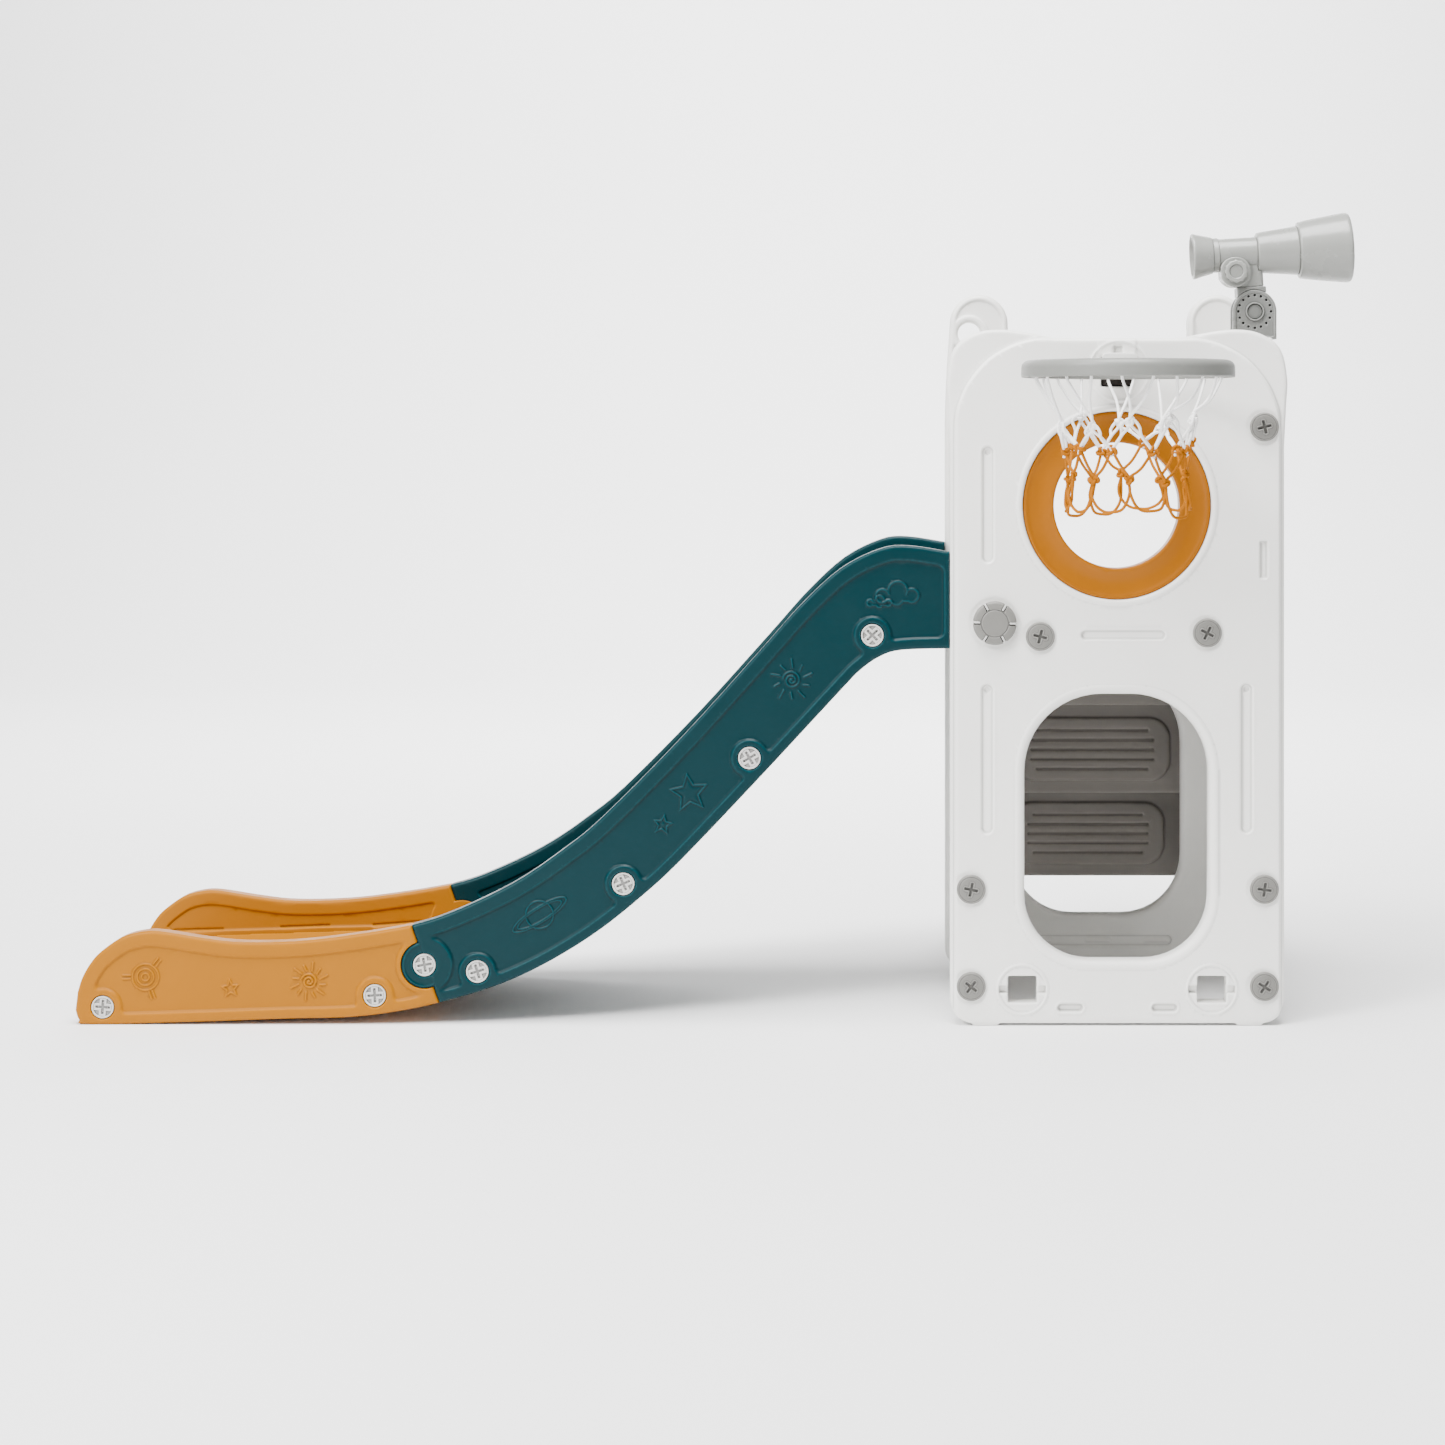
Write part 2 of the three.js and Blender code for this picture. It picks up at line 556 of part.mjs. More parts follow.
function slideScrew() {
  const { head, headHeight, shank, length } = SLIDE_SCREW;
  const face = 0.6;
  const under = face + headHeight;
  const profile = [
    [0, face], [head - 1, face], [head, face + 1], [head, under], [shank, under],
    [shank, length - 6], [0, length - 2],
  ];
  return toSolid(turned(profile, SCREW_SIDES));
}

const slideScrews = [...UPPER_SCREWS, [JOINT_BOSS.x, JOINT_BOSS.z], ...LOWER_SCREWS];

add('slide_upper_bed', upperBed(), 'teal');
add('slide_lower_bed', lowerBed(), 'orange');
for (const [name, side] of Object.entries(railSides)) {
  add(`slide_upper_rail_${name}`, rail(upperOutline, side, UPPER_SCREWS, true), 'teal');
  add(`slide_lower_rail_${name}`, rail(lowerOutline, side, LOWER_SCREWS, false), 'orange');
  slideScrews.forEach(([x, z], i) => {
    const mesh = add(`slide_screw_${name}_${i + 1}`, slideScrew(), 'screwGrey');
    mesh.position.set(x, side.outer, z);
    mesh.rotation.z = name === 'near' ? 0 : Math.PI;
  });
}

// ---------------------------------------------------------------- hoop
function hoopRing() {
  const { outer, inner, height, corner, z } = HOOP;
  const low = z - height / 2;
  const high = z + height / 2;
  const profile = [
    [inner, low + corner], [inner + corner, low], [outer - corner, low], [outer, low + corner],
    [outer, high - corner], [outer - corner, high], [inner + corner, high], [inner, high - corner],
    [inner, low + corner],
  ];
  return turnedAlongZ(profile, HOOP.x, HOOP.y, FINE_SIDES);
}

function hoopBracket() {
  const inside = 5;
  const flange = block(HOOP_SOCKET.left + 1, HOOP_SOCKET.right + 6, -8, -GAP, HOOP.z - 9, HOOP.z + 27);
  const arm = block(HOOP_SOCKET.left + 2, HOOP_SOCKET.right - 2, -40, -2, HOOP.z - 9, HOOP.z + 9);
  const tongue = block(HOOP_SOCKET.left + inside, HOOP_SOCKET.right - inside, -2, HOOP_SOCKET.depth - 6,
    HOOP.z - 7, HOOP_SOCKET.top - 2);
  const ringSpace = turnedAlongZ(
    [[0, HOOP.z - 40], [HOOP.outer + 0.5, HOOP.z - 40], [HOOP.outer + 0.5, HOOP.z + 40], [0, HOOP.z + 40]],
    HOOP.x, HOOP.y, FINE_SIDES);
  return cut(join(flange, arm, tongue), [ringSpace]);
}

// The net as one open tapered sleeve.
function hoopNet() {
  const innerSide = NET_PROFILE.map(([radius, z]) => [radius - NET_THICKNESS, z]).reverse();
  return turnedAlongZ([...NET_PROFILE, ...innerSide, NET_PROFILE[0]], HOOP.x, HOOP.y, ROUND_SIDES);
}

add('hoop_ring', hoopRing(), 'midGrey');
add('hoop_bracket', hoopBracket(), 'midGrey');
add('hoop_net', hoopNet(), 'cord');

// ---------------------------------------------------------------- telescope
// Base and tilting parts are drawn about the tilt pivot: x along the barrel, z up.
const basePart = new THREE.Group();
basePart.position.set(SCOPE.x, SCOPE.y, SCOPE.z);
const tiltPart = new THREE.Group();
tiltPart.position.copy(basePart.position);
tiltPart.rotation.y = -THREE.MathUtils.degToRad(SCOPE.tilt);
playSet.add(basePart, tiltPart);

const EYE_END = -87.7;
const BARREL = { start: -47.5, end: 9.2, radius: 24, bore: 20 };
const CONE = { start: 9.5, end: 70.9, startRadius: 30.1, endRadius: 36.9, wall: 3 };
const HOOD = { start: 71.2, end: 149.5, startRadius: 42.9, endRadius: 52.6, wall: 3.5 };
const FOCUS = { x: -26, z: 61, radius: 17.3, boss: 23, front: 25, height: 11, shank: 4, hole: 4.7 };
const SADDLE = { left: -19, right: 16.5, half: 16 };

function clevis() {
  const { radius, halfWidth, slot, below, floor, bore } = CLEVIS;
  const outline = [...arc(0, 0, radius, 0, 180, 16), ...vectors([[-radius, -below], [radius, -below]])];
  const collar = bar(0, 0, 13.8, -halfWidth - 3, -halfWidth + 1, ROUND_SIDES);
  const body = join(plate(outline, -halfWidth, 2 * halfWidth), collar);
  return cut(body, [
    block(-50, 50, -slot, slot, -floor, 50),
    bar(0, 0, bore + 0.4, -halfWidth - 5, halfWidth + 5, SIDES),
    bar(0, 0, 11.7, -halfWidth - 5, -halfWidth + 2, SIDES),
  ]);
}

function pivotBolt() {
  const { halfWidth, bore } = CLEVIS;
  const shank = bore - 0.6;
  const profile = [
    [0, -halfWidth - 1], [10.5, -halfWidth - 1], [10.5, -halfWidth + 1.7], [shank, -halfWidth + 1.7],
    [shank, halfWidth + GAP], [11, halfWidth + GAP], [11, halfWidth + 4], [0, halfWidth + 4],
  ];
  return toSolid(turned(profile, SIDES));
}

function tiltBlock() {
  const half = CLEVIS.slot - 0.4;
  const eye = bar(0, 0, CLEVIS.floor - 1, -half, half, ROUND_SIDES);
  const neck = block(-20, 14, -half, half, 0, SWIVEL_PLANE - 1);
  const crown = block(-24.5, 19, -CLEVIS.halfWidth, CLEVIS.halfWidth, 10, SWIVEL_PLANE);
  const cheekSpace = bar(0, 0, CLEVIS.radius + 0.8, -CLEVIS.halfWidth - 1, CLEVIS.halfWidth + 1, ROUND_SIDES);
  const flange = cut(crown, [cheekSpace]);
  const spigot = turnedAlongZ([[0, SWIVEL_PLANE - 1], [6, SWIVEL_PLANE - 1], [6, 50], [0, 50]], 0, 0, SIDES);
  return cut(join(eye, neck, flange, spigot), [bar(0, 0, CLEVIS.bore + 0.4, -20, 20, SIDES)]);
}

function saddle() {
  const floor = SWIVEL_PLANE + GAP;
  const body = block(SADDLE.left, SADDLE.right, -SADDLE.half, SADDLE.half, floor, 80);
  const boss = bar(FOCUS.x, FOCUS.z, FOCUS.boss, -FOCUS.front, SADDLE.half, ROUND_SIDES);
  const spigotHole = turnedAlongZ([[0, 30], [6.8, 30], [6.8, 52], [0, 52]], 0, 0, SIDES);
  const snug = BARREL.radius + 0.5;
  const cupRoom = BARREL.radius + 2.2;
  const wide = CONE.startRadius + 1.5;
  const shoulder = CONE.start - GAP;
  const barrelSpace = turnedAlongX(
    [[0, -100], [cupRoom, -100], [cupRoom, BARREL.start], [snug, BARREL.start], [snug, shoulder],
      [wide, shoulder], [wide, 40], [0, 40]],
    SCOPE.axisHeight, ROUND_SIDES);
  const focusBore = bar(FOCUS.x, FOCUS.z, FOCUS.hole, -FOCUS.front - 1, -11, SCREW_SIDES);
  return cut(join(body, boss), [spigotHole, barrelSpace, focusBore]);
}

function focusKnob() {
  const { radius, height, shank } = FOCUS;
  const profile = [
    [0, -height + 2], [10, -height + 2], [11, -height], [radius - 2, -height], [radius, -height + 2],
    [radius, 0], [shank, 0], [shank, 12], [0, 12],
  ];
  const flutes = Array.from({ length: 8 }, (_, i) => {
    const geometry = new THREE.BoxGeometry(2.4, 30, 2.4);
    geometry.translate(radius, 0, 0);
    geometry.rotateY((i * Math.PI) / 4);
    return toSolid(geometry);
  });
  return cut(toSolid(turned(profile, ROUND_SIDES)), flutes);
}

function tube(outerPairs, innerPairs) {
  return turnedAlongX([...outerPairs, ...innerPairs.reverse(), outerPairs[0]], SCOPE.axisHeight, ROUND_SIDES);
}

function lensDisc(x, radius) {
  const bulge = 1.2;
  const edge = 0.6 * radius;
  const profile = [[0, x - bulge], [edge, x - 1], [radius, x], [radius, x + 2], [edge, x + 3], [0, x + 3.2]];
  return turnedAlongX(profile, SCOPE.axisHeight, ROUND_SIDES);
}

add('telescope_base', clevis(), 'midGrey', basePart);
add('telescope_pivot_bolt', pivotBolt(), 'midGrey', basePart);
add('telescope_tilt_block', tiltBlock(), 'midGrey', tiltPart);
add('telescope_saddle', saddle(), 'lightGrey', tiltPart);
add('telescope_barrel', tube(
  [[BARREL.radius, BARREL.start], [BARREL.radius, BARREL.end]],
  [[BARREL.bore, BARREL.start], [BARREL.bore, BARREL.end]]), 'lightGrey', tiltPart);
add('telescope_eyecup', tube(
  [[32, EYE_END], [34.2, EYE_END + 1.5], [28, -62], [25.5, -56], [25.5, BARREL.start - GAP]],
  [[30.5, EYE_END], [20.5, EYE_END + 14], [BARREL.bore, BARREL.start - GAP]]), 'lightGrey', tiltPart);
add('telescope_front_cone', tube(
  [[CONE.startRadius - 2, CONE.start], [CONE.startRadius, CONE.start + 3], [CONE.endRadius, CONE.end]],
  [[BARREL.bore, CONE.start], [CONE.startRadius - CONE.wall, CONE.start + 4],
    [CONE.endRadius - CONE.wall, CONE.end]]),
  'lightGrey', tiltPart);
add('telescope_hood', tube(
  [[HOOD.startRadius - 3, HOOD.start], [HOOD.startRadius, HOOD.start + 4], [HOOD.endRadius, HOOD.end - 6],
    [HOOD.endRadius - 2.5, HOOD.end]],
  [[CONE.endRadius - CONE.wall, HOOD.start], [HOOD.startRadius - HOOD.wall, HOOD.start + 5],
    [HOOD.endRadius - HOOD.wall - 1, HOOD.end - 5], [HOOD.endRadius - 4, HOOD.end]]), 'lightGrey', tiltPart);
add('telescope_eyepiece_lens', lensDisc(-70, 19.4), 'lens', tiltPart);
add('telescope_objective_lens', lensDisc(78, 38.4), 'lens', tiltPart);
const focus = add('telescope_focus_knob', focusKnob(), 'lightGrey', tiltPart);
focus.position.set(FOCUS.x, -FOCUS.front - GAP, FOCUS.z);

// ---------------------------------------------------------------- origin
// The origin is the middle of the footprint, on the ground.
const extent = new THREE.Box3().setFromObject(playSet, true);
const centre = extent.getCenter(new THREE.Vector3());
playSet.position.set(-centre.x, -centre.y, -extent.min.z);
playSet.updateMatrixWorld(true);

export default playSet;
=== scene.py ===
"""Looks of a toddler play set: climbing tower, two-part slide, hoop with a knotted net and a telescope.

Each moulded part is drawn as a distance field and meshed, so its edges are rounded and its relief is
real geometry. Lengths are millimetres in the tower's own frame, where x = 0 is its left edge, y = 0
the face of the front panel and z = 0 the ground; meshes are turned into metres as they are made.
"""

import math

import bpy
import numpy as np
import openvdb
from mathutils import Matrix, Vector

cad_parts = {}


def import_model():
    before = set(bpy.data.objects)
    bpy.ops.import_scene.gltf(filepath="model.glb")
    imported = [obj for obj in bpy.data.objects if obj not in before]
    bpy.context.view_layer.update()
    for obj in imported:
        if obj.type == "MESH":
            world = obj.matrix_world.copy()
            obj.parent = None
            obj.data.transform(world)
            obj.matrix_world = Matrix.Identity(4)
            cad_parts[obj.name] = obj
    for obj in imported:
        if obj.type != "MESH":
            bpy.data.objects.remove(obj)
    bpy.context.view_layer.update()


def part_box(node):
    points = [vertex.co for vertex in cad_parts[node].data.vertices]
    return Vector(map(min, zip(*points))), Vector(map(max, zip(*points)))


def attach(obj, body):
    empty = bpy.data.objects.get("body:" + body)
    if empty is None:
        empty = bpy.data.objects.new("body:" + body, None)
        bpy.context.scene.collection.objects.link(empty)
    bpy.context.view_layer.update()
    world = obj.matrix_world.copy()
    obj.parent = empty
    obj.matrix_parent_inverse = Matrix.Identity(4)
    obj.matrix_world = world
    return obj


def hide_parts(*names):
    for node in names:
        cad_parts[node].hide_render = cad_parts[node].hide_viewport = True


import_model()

# ---------------------------------------------------------------- driving dimensions
MM = 0.001
PANEL_STEP = 1.7
PANEL_MERGE = 0.012
RAIL_STEP = 1.15
BULK_STEP = 1.9
STAIR_STEP = 1.7
FINE_STEP = 0.6
SCREW_STEP = 0.36
GAP = 0.3
WEAR_AND_SHADING_REACH = 1.3

TOWER_WIDTH = 486
TOWER_DEPTH = 415
THICKNESS = 36
MIDDLE = TOWER_WIDTH / 2
FOOT_HEIGHT = 3
FRONT_CORNER = 34
BACK_CORNER = 40
EAR_EDGE = [
    (0, 840), (-3, 900), (-4.5, 940), (6, 983), (36, 1005), (72, 1010.5), (112, 1006), (150, 998),
]
ARCH_EDGE = [
    (6.5, 840), (8, 884), (16, 912), (29, 937), (54, 966), (87, 986), (121, 996.5), (150, 998.5),
]
WINDOW = (242, 754.7)
WINDOW_HOLE = 122
WINDOW_SEAT = 136.8
TUNNEL = dict(left=108, right=375, bottom=95, top=481, low_corner=94, high_corner=112)
POSTS = [(54.7, 756, 16, 168), (53.7, 387, 16, 216), (430, 388, 16, 216)]
SOCKET_CENTRES = (104.8, 379.5)
SOCKET_HEIGHT = 53
HOOP_SOCKET = dict(left=219, right=265.4, bottom=927, top=970, depth=30)
DECK_TOP = 600
DECK_THICKNESS = 48
BACK_EAR = (54, 1033, 46)
BACK_GRIP = (38.6, 1017, 18)
SIDE_MIDDLE = 30.5
PANEL_SCREWS = [
    (30.5, 57.6), (30.5, 198.4), (455.5, 57.6), (455.5, 198.4), (130.5, 565), (372.7, 570), (455.5, 868.6),
]
PANEL_SCREW_TURNS = [38, 12, 33, 8, 14, 27, 76]
PANEL_SCREW_RADIUS = 21
LOCK_KNOB = (64.5, 584.5)
LOCK_KNOB_RADIUS = 31.6

UPPER_TOP = [
    (-783, 144.3), (-739.5, 157.3), (-681.5, 182), (-623.5, 212.4), (-565.5, 252.3), (-507.5, 299.4),
    (-391.5, 416.2), (-275.5, 544.5), (-217.5, 609.7), (-159.5, 662.7), (-101.5, 691.7), (-60, 696),
    (-GAP, 687),
]
UPPER_BOTTOM = [
    (-742.8, 31.5), (-681.5, 48.9), (-623.5, 71.1), (-565.5, 101.1), (-507.5, 138.6), (-449.5, 185),
    (-391.5, 238.4), (-275.5, 360.1), (-159.5, 485.1), (-130.5, 515), (-101.5, 535), (-70, 544.3),
    (-GAP, 546.5),
]
LOWER_TOP = [
    (-1271.6, 21), (-1268.6, 46.7), (-1262, 67.5), (-1250.5, 87.9), (-1235.5, 105), (-1205, 126.3),
    (-1174.5, 134.9),
    (-1145.5, 134.9), (-1087.5, 125.8), (-1029.5, 119.6), (-942.5, 121.6), (-855.5, 132), (-783, 144.3),
]
LOWER_BOTTOM = [
    (-1271.6, 21), (-1266.5, 7.5), (-1250, 0.1), (-1087.5, 4), (-971.5, 8), (-870, 10.8), (-797.5, 20),
    (-742.8, 31.5),
]
BOSS = (-763.9, 86.7)
BOSS_RADIUS = 34
UPPER_SCREWS = [(-112.8, 565.8), (-291.5, 387.4), (-474.9, 204.6), (-687, 77.1)]
LOWER_SCREWS = [(-836.1, 42.3), (-1231.6, 25.4)]
SLIDE_SCREW_RADIUS = 16.3
SLIDE_SEAT = 17.6
RAIL_THICKNESS = 28
SLIDE_FRONT = 8
SLIDE_BACK = 390
BED_LOW = 8
BED_HIGH = 54
LOWER_BED_START = -1215
TONGUE = 95
UPPER_SLITS = (-640, -500, -360, -220, -90)
LOWER_SLITS = (-1172, -1016, -862)
SLIT_HEIGHT = 73

STAIR_FACE = TOWER_DEPTH + 0.5
STAIR_TOP = 540
STAIR_SHEET = 14
TREAD_RUN = 95.5
TREAD_UNDERSIDES = (120, 271, 424)
STAIR_HALF = 165
STRINGER = 32

HOOP = dict(x=243, y=-172, z=949, outer=148, inner=126, height=24)
SCOPE = (459.3, 150, 1041.8)
SCOPE_TILT = math.radians(3.43)
SCOPE_AXIS = 88.3

ring_low, ring_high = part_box("window_ring")
panel_low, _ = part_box("front_panel")
ORIGIN = Vector(((ring_low.x + ring_high.x) / 2 - WINDOW[0] * MM, panel_low.y, 0))


def world(x, y, z):
    """A point of the tower's frame, in metres in the row frame."""
    return ORIGIN + Vector((x, y, z)) * MM


# ---------------------------------------------------------------- distance fields, negative inside
def spline(points, steps):
    """A smooth line through the points."""
    pts = np.array(points, float)
    last = len(pts) - 1
    out = []
    for s in np.linspace(0, last, steps + 1):
        i = min(int(s), last - 1)
        t = s - i
        a, b, c, d = pts[max(i - 1, 0)], pts[i], pts[i + 1], pts[min(i + 2, last)]
        u, v = (c - a) / 2, (d - b) / 2
        out.append((2 * b - 2 * c + u + v) * t**3 + (3 * c - 3 * b - 2 * u - v) * t**2 + u * t + b)
    return [tuple(p) for p in out]


def arc(x, z, radius, start, end, steps=12):
    """Points on an arc, its angles in degrees."""
    angles = np.radians(np.linspace(start, end, steps + 1))
    return [(x + radius * math.cos(a), z + radius * math.sin(a)) for a in angles]


def mirrored(points):
    """The outline's points mirrored in the tower's middle, in the opposite order."""
    return [(TOWER_WIDTH - x, z) for x, z in reversed(points)]


def segment(u, v, a, b):
    """Distance to the straight line from a to b."""
    du, dv = b[0] - a[0], b[1] - a[1]
    t = np.clip(((u - a[0]) * du + (v - a[1]) * dv) / max(du * du + dv * dv, 1e-9), 0, 1)
    return np.hypot(u - a[0] - t * du, v - a[1] - t * dv)


def along(u, v, points):
    """Distance to a line through the points."""
    best = np.full(np.broadcast(u, v).shape, 1e6, np.float32)
    for a, b in zip(points, points[1:]):
        np.minimum(best, segment(u, v, a, b), out=best)
    return best


def polygon(u, v, points):
    """Signed distance to a closed outline."""
    inside = np.zeros(np.broadcast(u, v).shape, bool)
    for (au, av), (bu, bv) in zip(points, points[1:] + points[:1]):
        if av != bv:
            inside ^= ((av > v) != (bv > v)) & (u < (bu - au) * (v - av) / (bv - av) + au)
    distance = along(u, v, points + points[:1])
    return np.where(inside, -distance, distance)


def disc(u, v, centre, radius):
    return np.hypot(u - centre[0], v - centre[1]) - radius


def rectangle(u, v, left, right, bottom, top, corner=0.0):
    """A rectangle with rounded corners."""
    du = np.abs(u - (left + right) / 2) - (right - left) / 2 + corner
    dv = np.abs(v - (bottom + top) / 2) - (top - bottom) / 2 + corner
    return np.minimum(np.maximum(du, dv), 0) + np.hypot(np.maximum(du, 0), np.maximum(dv, 0)) - corner


def both(a, b, radius=0.0):
    """What is inside a and b, with the edge between them rounded."""
    outer = np.hypot(np.maximum(a + radius, 0), np.maximum(b + radius, 0))
    return np.minimum(-radius, np.maximum(a, b)) + outer


def either(a, b, radius=0.0):
    """What is inside a or b, with the corner between them filled to a radius."""
    return -both(-a, -b, radius)


def less(a, b, radius=0.0):
    """What is inside a and outside b, with the edge rounded."""
    return both(a, -b, radius)


def rise(distance, width=2.6):
    """1 inside a flat shape and 0 outside it, with a soft step of that width on its edge."""
    t = np.clip(0.5 - distance / width, 0, 1)
    return t * t * (3 - 2 * t)


def ridge(distance, half, width=1.8):
    """1 along a line and 0 away from it."""
    return rise(np.abs(distance) - half, width)


class Grid:
    """Sample points along x, y and z that cover a box with some room to spare."""

    def __init__(self, low, high, step):
        self.step = step
        self.low = np.array(low, float) - 3 * step
        counts = np.ceil((np.array(high, float) - self.low) / step).astype(int) + 4
        axes = [self.low[k] + step * np.arange(counts[k]) for k in range(3)]
        self.x = axes[0].astype(np.float32)[:, None, None]
        self.y = axes[1].astype(np.float32)[None, :, None]
        self.z = axes[2].astype(np.float32)[None, None, :]


def sampled(field, places):
    """The field's values at places given in samples, by straight lines between its samples."""
    top = np.array(field.shape) - 2
    cell = np.clip(places.astype(np.int64), 0, top)
    t = np.clip(places - cell, 0, 1)
    value = np.zeros(len(places))
    for corner in range(8):
        pick = [(corner >> k) & 1 for k in range(3)]
        weight = np.prod([t[:, k] if pick[k] else 1 - t[:, k] for k in range(3)], axis=0)
        value += weight * field[tuple(cell[:, k] + pick[k] for k in range(3))]
    return value


def mesh_of(name, points, faces, normals=None, wear_and_shading=None):
    """A mesh from points in metres and lists of three- and four-cornered faces."""
    mesh = bpy.data.meshes.new(name)
    faces = [f for f in faces if len(f)]
    corners = np.concatenate([f.ravel() for f in faces]).astype(np.int32)
    sizes = np.concatenate([np.full(len(f), f.shape[1]) for f in faces])
    starts = np.concatenate([[0], np.cumsum(sizes)[:-1]]).astype(np.int32)
    mesh.vertices.add(len(points))
    mesh.vertices.foreach_set("co", points.astype(np.float32).ravel())
    mesh.loops.add(len(corners))
    mesh.loops.foreach_set("vertex_index", corners)
    mesh.polygons.add(len(starts))
    mesh.polygons.foreach_set("loop_start", starts)
    mesh.update(calc_edges=True)
    mesh.validate()
    mesh.polygons.foreach_set("use_smooth", np.ones(len(mesh.polygons), bool))
    # The curvature value that the materials paint as wear, painted highlight and painted shade.
    if wear_and_shading is not None:
        attribute = mesh.attributes.new("wear_and_shading", "FLOAT", "POINT")
        attribute.data.foreach_set("value", wear_and_shading.astype(np.float32))
    if normals is not None:
        mesh.normals_split_custom_set_from_vertices(normals.astype(np.float32))
    return mesh


def moulded(name, grid, field, merge=0.006, place=None, painted_shade=None):
    """The mesh of a field's surface, with normals and a curvature value read from the field itself.

    The materials paint that value as paler edges, partly wear and partly painted highlight, and as
    painted shade in hollows. Painted shade is given over the front view, and darkens the surface there.
    """
    reach = 4 * grid.step
    volume = openvdb.FloatGrid(background=reach)
    volume.copyFromArray(np.clip(field, -reach, reach).astype(np.float32))
    points, triangles, quads = volume.convertToPolygons(isovalue=0.0, adaptivity=merge)
    points = points.astype(float)
    offsets = np.concatenate([np.eye(3), -np.eye(3)])
    around = np.array([sampled(field, points + o) for o in offsets])
    normals = (around[:3] - around[3:]).T
    normals /= np.maximum(np.linalg.norm(normals, axis=1), 1e-9)[:, None]
    # Curvature of the field: positive on edges, negative in hollows, for wear, painted highlight and painted
    # shade.
    wear_and_shading = (around.sum(0) - 6 * sampled(field, points)) * WEAR_AND_SHADING_REACH / grid.step**2
    # Painted shade given over the front view lowers the value, so those places are darkened.
    if painted_shade is not None:
        wear_and_shading -= sampled(np.broadcast_to(painted_shade[:, None], field.shape), points)
    millimetres = grid.low + points * grid.step
    if place is None:
        metres = millimetres * MM + np.array(ORIGIN)
    else:
        turn = np.array(place.to_3x3())
        metres = millimetres @ turn.T * MM + np.array(place.translation)
        normals = normals @ turn.T
    return mesh_of(name, metres, [triangles, quads], normals, wear_and_shading)


# ---------------------------------------------------------------- materials
def linear(red, green, blue):
    """An sRGB colour, 0 to 255, as the linear colour that a shader takes."""
    shares = [c / 255 for c in (red, green, blue)]
    return [s / 12.92 if s <= 0.04045 else ((s + 0.055) / 1.055) ** 2.4 for s in shares] + [1.0]


class Nodes:
    """A material's node tree, with short calls to add to it."""

    def __init__(self, name):
        self.material = bpy.data.materials.new(name)
        self.material.use_nodes = True
        self.tree = self.material.node_tree
        self.shader = self.tree.nodes["Principled BSDF"]
        self.place = self.tree.nodes.new("ShaderNodeTexCoord").outputs["Object"]

    def link(self, source, target):
        self.tree.links.new(source, target)

    def noise(self, scale, detail=3.0, roughness=0.55):
        node = self.tree.nodes.new("ShaderNodeTexNoise")
        node.inputs["Scale"].default_value = scale
        node.inputs["Detail"].default_value = detail
        node.inputs["Roughness"].default_value = roughness
        self.link(self.place, node.inputs["Vector"])
        return node.outputs["Fac"]

    def span(self, source, low, high, to_low=0.0, to_high=1.0):
        node = self.tree.nodes.new("ShaderNodeMapRange")
        values = {"From Min": low, "From Max": high, "To Min": to_low, "To Max": to_high}
        for key, value in values.items():
            node.inputs[key].default_value = value
        self.link(source, node.inputs["Value"])
        return node.outputs["Result"]

    def times(self, a, b):
        node = self.tree.nodes.new("ShaderNodeMath")
        node.operation = "MULTIPLY"
        self.link(a, node.inputs[0])
        self.link(b, node.inputs[1])
        return node.outputs[0]

    def mix(self, share, a, b):
        """Colour a turned into colour b by share."""
        node = self.tree.nodes.new("ShaderNodeMix")
        node.data_type = "RGBA"
        self.link(share, node.inputs["Factor"])
        for socket, value in ((node.inputs["A"], a), (node.inputs["B"], b)):
            if isinstance(value, bpy.types.NodeSocket):
                self.link(value, socket)
            else:
                socket.default_value = value
        return node.outputs["Result"]

    def bump(self, height, distance, strength, before=None):
        node = self.tree.nodes.new("ShaderNodeBump")
        node.inputs["Distance"].default_value = distance
        node.inputs["Strength"].default_value = strength
        self.link(height, node.inputs["Height"])
        if before is not None:
            self.link(before, node.inputs["Normal"])
        return node.outputs["Normal"]

    # The mesh's value for wear and painted highlight on edges and painted shade in hollows and cord grooves.
    def wear_and_shading(self):
        node = self.tree.nodes.new("ShaderNodeAttribute")
        node.attribute_name = "wear_and_shading"
        return node.outputs["Fac"]


def shade(colour, factor):
    return [min(1.0, c * factor) for c in colour[:3]] + [1.0]


def plastic(name, rgb, roughness=0.4, grain=0.12, edge=1.28, hollow_shade=0.72, shine=0.5):
    """Moulded plastic: faint clouds in the colour, a fine grain, paler edges that are partly wear and partly
    painted highlight, and painted shade in hollows.
    """
    nodes = Nodes(name)
    colour = linear(*rgb)
    clouds = nodes.span(nodes.noise(4.0, 4), 0.3, 0.7)
    base = nodes.mix(clouds, shade(colour, 0.955), shade(colour, 1.03))
    mottled = nodes.span(nodes.noise(70.0, 2), 0.35, 0.65, 0.0, 0.35)
    base = nodes.mix(mottled, base, shade(colour, 0.965))
    wear_and_shading = nodes.wear_and_shading()
    scuffs = nodes.span(nodes.noise(160.0, 3), 0.3, 0.7, 0.35, 1.0)
    # Edges are lightened by the edge factor: scuffed wear together with painted highlight.
    worn_and_highlit = nodes.times(nodes.span(wear_and_shading, 0.12, 0.7, 0.0, 0.6), scuffs)
    base = nodes.mix(worn_and_highlit, base, shade(colour, edge))
    # Hollows and creases are darkened with painted shade.
    base = nodes.mix(nodes.span(wear_and_shading, -0.12, -0.8, 0.0, 0.7), base, shade(colour, hollow_shade))
    nodes.link(base, nodes.shader.inputs["Base Color"])
    gloss = nodes.span(nodes.noise(22.0, 4), 0.3, 0.7, roughness - 0.05, roughness + 0.07)
    nodes.link(gloss, nodes.shader.inputs["Roughness"])
    peel = nodes.bump(nodes.noise(120.0, 2), 0.0003, 0.5)
    fine = nodes.bump(nodes.noise(1700.0, 2), 0.00008, grain * 5, peel)
    nodes.link(fine, nodes.shader.inputs["Normal"])
    nodes.shader.inputs["Specular IOR Level"].default_value = shine
    return nodes.material


